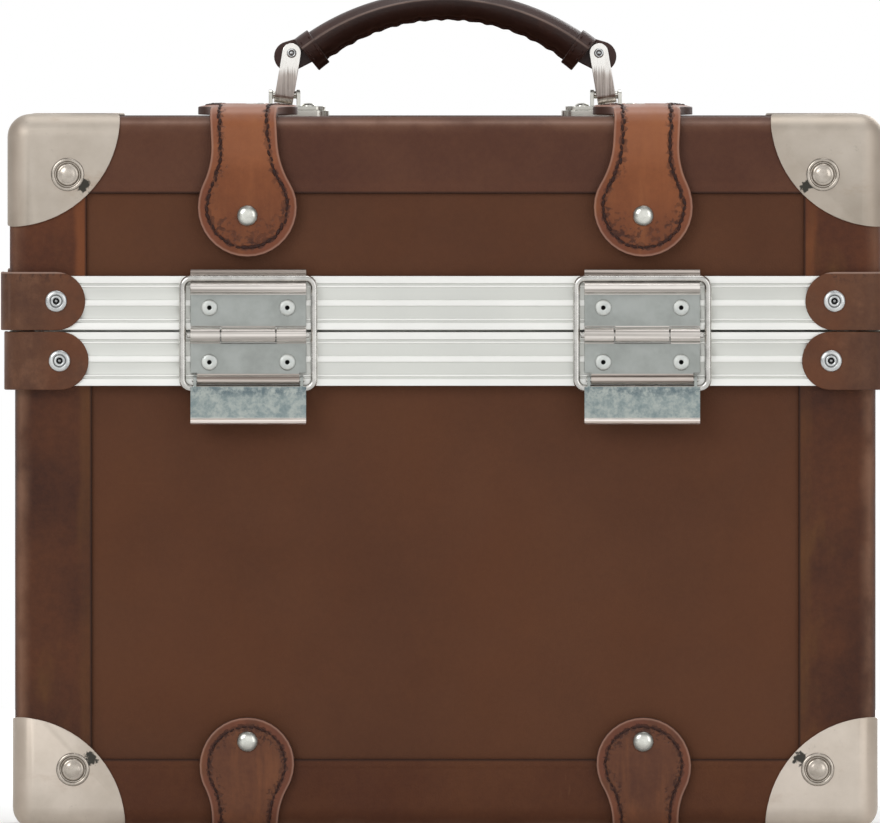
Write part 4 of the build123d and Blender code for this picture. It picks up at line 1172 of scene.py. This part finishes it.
def stitches(sewn, name, body, length, width, height, uneven):
    """One piece with a stitch at each (point, direction, outward) in sewn. The sizes are in
    mm, and uneven is how far a stitch may stray from its line."""
    one = bmesh.new()
    bmesh.ops.create_uvsphere(one, u_segments=6, v_segments=4, radius=1.0)
    size = (width * MM / 2, height * MM / 2, length * MM / 2)
    bmesh.ops.scale(one, vec=size, verts=one.verts)
    places = []
    for point, along, out in sewn:
        side = along.cross(out).normalized()
        astray = side * random.uniform(-uneven * MM, uneven * MM)
        tilt = Matrix.Rotation(radians(random.uniform(-16, 16)), 3, out)
        turn = Matrix((tilt @ side, out, tilt @ along)).transposed().to_4x4()
        grown = Matrix.Scale(random.uniform(0.75, 1.2), 4)
        places.append(Matrix.Translation(point + astray) @ turn @ grown)
    form = copies(one, places)
    bmesh.ops.recalc_face_normals(form, faces=form.faces)
    finished(form, name, waxed_thread, body, "leather_patch", 80.0)


def strap_stitches(fold, rear):
    """The stitches of one strap, on its upper face. Under the base they are worn flush."""
    flat = [(x, p, 0.0) for x, p in inwards(strap_outline(fold.shape), stitch_inset)]
    flip = Vector((1, -1, 1)) if rear else Vector((1, 1, 1))
    sewn = []
    for point, along in spaced(flat, stitch_pitch):
        x, p = point.x, point.y
        next_x, next_p = x + along.x * short_step, p + along.y * short_step
        proud = 0.05 * MM if fold.way > 0 or p < 0 else -0.35 * MM
        here = fold.point(x, p, fold.lift(x, p, True) + proud)
        ahead = fold.point(next_x, next_p, fold.lift(next_x, next_p, True) + proud)
        above = fold.point(x, p, fold.lift(x, p, True) + 1 * MM)
        way = (ahead - here).normalized() * flip
        out = (above - here).normalized() * flip
        sewn.append((here * flip, way.normalized(), out.normalized()))
    return sewn


# %% Lay all eight straps and sew them
# A shape is the strap's reach from the edge, its end's radius, its waist and its neck.
top_shape = (54.7 * MM, 19.4 * MM, 13 * MM, 10 * MM)
bottom_shape = (43 * MM, 18.6 * MM, 13 * MM, 2 * MM)
strap_x = 77 * MM
top_edge = (lid_half_y, lid_high.z, 1, top_shape, 30.2 * MM, 1.8 * MM)
bottom_edge = (base_half_y, base_low.z, -1, bottom_shape, 26.8 * MM, 0.0)
levels = {
    "top": ("lid", "lid_patches", top_strap_leather, top_edge, 1.7 * MM),
    "bottom": ("base", "base_patches", bottom_strap_leather, bottom_edge, 1.0 * MM),
}
sewn = {"top": [], "bottom": []}
for side_name, side in (("left", -1), ("right", 1)):
    for end_name, rear in (("front", False), ("rear", True)):
        for level, (body, node, leather, edge, lean) in levels.items():
            fold = Fold(side * strap_x, *edge, side * lean)
            piece = strap(fold, f"{level}_strap_{side_name}_{end_name}", body, leather, rear)
            if not sewn[level]:
                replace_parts(piece, node)
            sewn[level] += strap_stitches(fold, rear)
stitches(sewn["top"], "top_strap_stitches", "lid", 2.8, 1.3, 0.75, 0.42)
stitches(sewn["bottom"], "bottom_strap_stitches", "base", 2.4, 0.85, 0.6, 0.2)
print("stitches on the straps:", len(sewn["top"]) + len(sewn["bottom"]))

# %% [markdown]
# ## The handle
# The grip is a steel strip between two layers of firm leather, closed by a seam underneath
# that hand sewing has pulled into waves. It could be a bevelled curve, but its section is
# not round: it has a crease along each side, which catches the light as one long line. So
# the section is spun along the arc of the handle, then thickened towards the ends, and the
# seam's rim is pushed in and out.
#
# The leather is nearly black with wax. Its upper face is painted a little browner, as painted
# light, and a painted highlight lies as a pale line along the crease, which the finish finds
# by its distance from the arc's centre.

# %% Grip leather
arc_radius, half_core = 87.5 * MM, 1 * MM
arc_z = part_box("handle_core")[1].z - arc_radius - half_core
grip_angle = radians(38.5)
fatter = 0.16
grip_leather, shader, place = new_finish("grip_leather", Specular_IOR_Level=0.35)
x, y, z = split(place)
share = x / (arc_radius * sin(grip_angle))
out = ((x * x + (z - arc_z) * (z - arc_z)).root() - arc_radius) / (1 + fatter * share * share)
# Painted highlight: a pale line along the crease.
crease_highlight = abs(out - 2.0 * MM).fade(0.55 * MM, 0.15 * MM) * abs(y).fade(4 * MM, 6 * MM)
crease_highlight = crease_highlight * place.noise(60.0, 3.0).fade(0.3, 0.65, 0.15, 0.7)
# Painted light: the upper face a little browner.
upper = out.fade(1.9 * MM, 2.8 * MM)
colour = rubbed_hide(place, (40, 24, 20), (58, 36, 30), (88, 54, 42))
feed(
    shader,
    Base_Color=coated(colour, (upper * 0.45, 72, 48, 43), (crease_highlight, 138, 116, 106)),
    Roughness=place.noise(50.0, 4.0).fade(0.3, 0.7, 0.3, 0.46),
    Normal=wrinkles(place),
)
print("grip:", grip_leather.name)

# %% Grip
grip_section = (
    (0.9, -6.3), (1.3, -5.6), (1.7, -5.0), (3.6, -4.6), (5.6, -3.6), (7.1, -2.0), (7.7, -0.2),
    (7.9, 1.0), (7.95, 1.7), (7.75, 2.1), (7.2, 2.35), (6.3, 2.9), (4.9, 3.9), (3.0, 4.75),
    (1.2, 5.15),
)
seam_top = -4.6 * MM
seam_wave = 0.22


def ripple(share):
    """How the seam waves at a share of the way from the middle, from about -1 to 1."""
    return sin(share * 54) + 0.35 * sin(share * 91 + 1)


def spun_section(section, start, end, steps, thicker, wave=0.0):
    """A closed section, (across, out) in mm, spun along the handle's arc. It is thicker
    towards the ends, and wave is how far its seam is pushed in and out."""
    form = bmesh.new()
    ring = list(section) + [(-across, out) for across, out in reversed(section)]
    verts = []
    for across, out in ring:
        reach = arc_radius + out * MM
        verts.append(form.verts.new((reach * sin(start), across * MM, arc_z + reach * cos(start))))
    ring = verts + [form.edges.new(pair) for pair in zip(verts, verts[1:] + verts[:1])]
    around = {"cent": (0, 0, arc_z), "axis": (0, 1, 0), "angle": end - start, "steps": steps}
    bmesh.ops.spin(form, geom=ring, **around)
    bmesh.ops.holes_fill(form, edges=[e for e in form.edges if e.is_boundary], sides=0)
    for vert in form.verts:
        x, z = vert.co.x, vert.co.z - arc_z
        reach = hypot(x, z)
        share = (x / reach) / sin(grip_angle)
        out = (reach - arc_radius) * (1 + thicker * share * share)
        if out < seam_top:
            out += wave * ripple(share) * MM
        out += arc_radius
        vert.co.x, vert.co.z = x / reach * out, arc_z + z / reach * out
    bmesh.ops.recalc_face_normals(form, faces=form.faces)
    return form


form = spun_section(grip_section, -grip_angle, grip_angle, 140, fatter, seam_wave)
grip = finished(form, "grip_sleeve", grip_leather, "handle", "leather_handle", 55.0)
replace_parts(grip, "handle_grip")
print("grip faces:", len(grip.data.polygons))

# %% [markdown]
# At each end a flat lug of the same leather comes out of the sleeve, and the metal strap
# is riveted over it. A convex hull of two discs is that lug exactly. The stitched band
# over the joint is a wider section spun through a few degrees.


# %% Lugs and end bands
def lug(spot, name):
    """A flat lug from the end of the sleeve to just past the rivet at spot."""
    side = 1 if spot.x > 0 else -1
    root = Vector((spot.x - side * 8.8 * MM, 0, 0))
    root.z = arc_z + sqrt(arc_radius**2 - root.x**2)
    eye = Vector((spot.x + side * 0.9 * MM, 0, spot.z - 1.3 * MM))
    eye_radius, root_radius, half_thickness = 6.0 * MM, 5.0 * MM, 2.2 * MM
    form = bmesh.new()
    for centre, radius in ((eye, eye_radius), (root, root_radius)):
        for face_y in (-half_thickness, half_thickness):
            place = Matrix.Translation(centre + Vector((0, face_y, 0))) @ lying
            bmesh.ops.create_circle(form, segments=28, radius=radius, matrix=place)
    hull = bmesh.ops.convex_hull(form, input=form.verts)
    spare = set(verts_in(hull["geom_interior"] + hull["geom_unused"]))
    bmesh.ops.delete(form, geom=list(spare), context="VERTS")
    bmesh.ops.dissolve_limit(form, angle_limit=nearly_flat, verts=form.verts, edges=form.edges)
    bmesh.ops.recalc_face_normals(form, faces=form.faces)
    rounded(finished(form, name, grip_leather, "handle", "leather_handle"), 0.5, 3, 50)


for number, spot in enumerate(rivet_spots):
    lug(spot, f"grip_lug_{number + 1}")

band_start, band_end = radians(35.0), grip_angle + radians(0.4)
band_section = [(a + 1.25 if a > 1.5 else a, b * 1.24) for a, b in grip_section]
for number, (first, last) in enumerate(((-band_end, -band_start), (band_start, band_end))):
    form = spun_section(band_section, first, last, 6, 0.1)
    name = f"grip_band_{number + 1}"
    band = finished(form, name, grip_leather, "handle", "leather_handle", 55.0)
    rounded(band, 0.4, 3, 55)
    if number == 0:
        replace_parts(band, "handle_collars")

# %% Seam stitches under the grip and round its bands
seam_count, seam_share, seam_out, seam_across = 34, 0.86, -5.55, 1.35
band_turns = radians(35.7), radians(38.1)
sewn_grip = []
for side in (-1, 1):
    out_y = Vector((0, side, 0))
    for i in range(seam_count):
        angle = ((i + 0.5) / seam_count * 2 - 1) * grip_angle * seam_share
        share = sin(angle) / sin(grip_angle)
        out = seam_out * (1 + fatter * share * share) + seam_wave * ripple(share)
        radial, along = Vector((sin(angle), 0, cos(angle))), Vector((cos(angle), 0, -sin(angle)))
        middle = Vector((0, side * seam_across * MM, arc_z))
        point = radial * (arc_radius + out * MM) + middle
        sewn_grip.append((point, along, out_y))
    for end in (-1, 1):
        for turn in band_turns:
            angle = end * turn
            radial = Vector((sin(angle), 0, cos(angle)))
            for step in range(5):
                out = -3.6 + 1.9 * step
                across = 8.95 - 0.085 * (out - 0.2) ** 2
                point = radial * (arc_radius + out * MM) + Vector((0, side * across * MM, arc_z))
                sewn_grip.append((point, radial, out_y))
stitches(sewn_grip, "grip_stitches", "handle", 1.9, 0.7, 0.5, 0.1)
print("stitches on the handle:", len(sewn_grip))

# %% [markdown]
# ## The studio
# A pale floor carries the case and its soft shadow. The lamps are large and near, so their
# edges are soft, and their strength is set so that a colour renders about as it is written.
# The background is white to the camera, and the floor fades into it. Metal sees a studio
# instead: bright in front and dimmer to the sides and overhead, which draws the dark
# crescents round each rivet.

# %% Floor
floor_reach = 2.2
form = bmesh.new()
bmesh.ops.create_grid(form, x_segments=1, y_segments=1, size=floor_reach)
floor = in_scene("floor", mesh_of(form, "floor"))
pale_floor, shader, place = new_finish("pale_floor", Specular_IOR_Level=0.1, Emission_Strength=1.0)
x, y, z = split(place)
away = (x * x + y * y).root().fade(0.3, 1.1, 0.16, 0.9)
camera_ray = place.node("ShaderNodeLightPath", {}, {}, "Is Camera Ray")
feed(
    shader,
    Base_Color=place.noise(2.0, 3.0).blend((243, 243, 242), (247, 247, 246)),
    Roughness=place.noise(5.0, 3.0).fade(0.3, 0.7, 0.8, 0.9),
    Emission_Color=(camera_ray * away).blend((0, 0, 0), (255, 255, 255)),
)
floor.data.materials.append(pale_floor)

# %% Background and lamps
world = bpy.data.worlds.new("studio")
bpy.context.scene.world = world
world.use_nodes = True
background = world.node_tree.nodes["Background"]
seen_by = Wire(world.node_tree).node("ShaderNodeLightPath", {}, {}, "Is Camera Ray")
glossy = Wire(world.node_tree, seen_by.socket.node.outputs["Is Glossy Ray"])
clear = Wire(world.node_tree, seen_by.socket.node.outputs["Is Transmission Ray"])
direction = seen_by.node("ShaderNodeTexCoord", {}, {}, "Generated")
x, y, z = split(direction)
studio = z.fade(-0.5, -0.1, 0.35, 0.94) * z.fade(0.35, 0.9, 1.0, 0.55)
studio = studio * abs(x).fade(0.45, 0.85, 1.0, 0.55)
seen = seen_by.higher(clear)
strength = seen + (1.0 - seen) * (glossy * studio + (1.0 - glossy) * 0.55)
world.node_tree.links.new(strength.socket, background.inputs["Strength"])
background.inputs["Color"].default_value = (1, 1, 1, 1)

case_middle = Vector((0, 0, 0.16))
for name, place, size, power in (
    ("key_lamp", (-1.2, -1.6, 1.3), (1.1, 1.1), 11.0),
    ("fill_lamp", (1.5, -1.5, 0.7), (1.0, 1.4), 5.0),
    ("top_lamp", (0.1, 0.1, 1.9), (1.4, 0.9), 8.0),
    ("back_lamp", (0.9, 1.7, 1.1), (1.0, 1.0), 9.0),
):
    data = bpy.data.lights.new(name, "AREA")
    data.shape, data.size, data.size_y, data.energy = "RECTANGLE", size[0], size[1], power
    lamp = in_scene(name, data)
    lamp.location = place
    lamp.rotation_euler = (case_middle - Vector(place)).to_track_quat("-Z", "Y").to_euler()
bpy.context.scene.view_settings.view_transform = "Standard"
print("lamps:", len(bpy.data.lights))
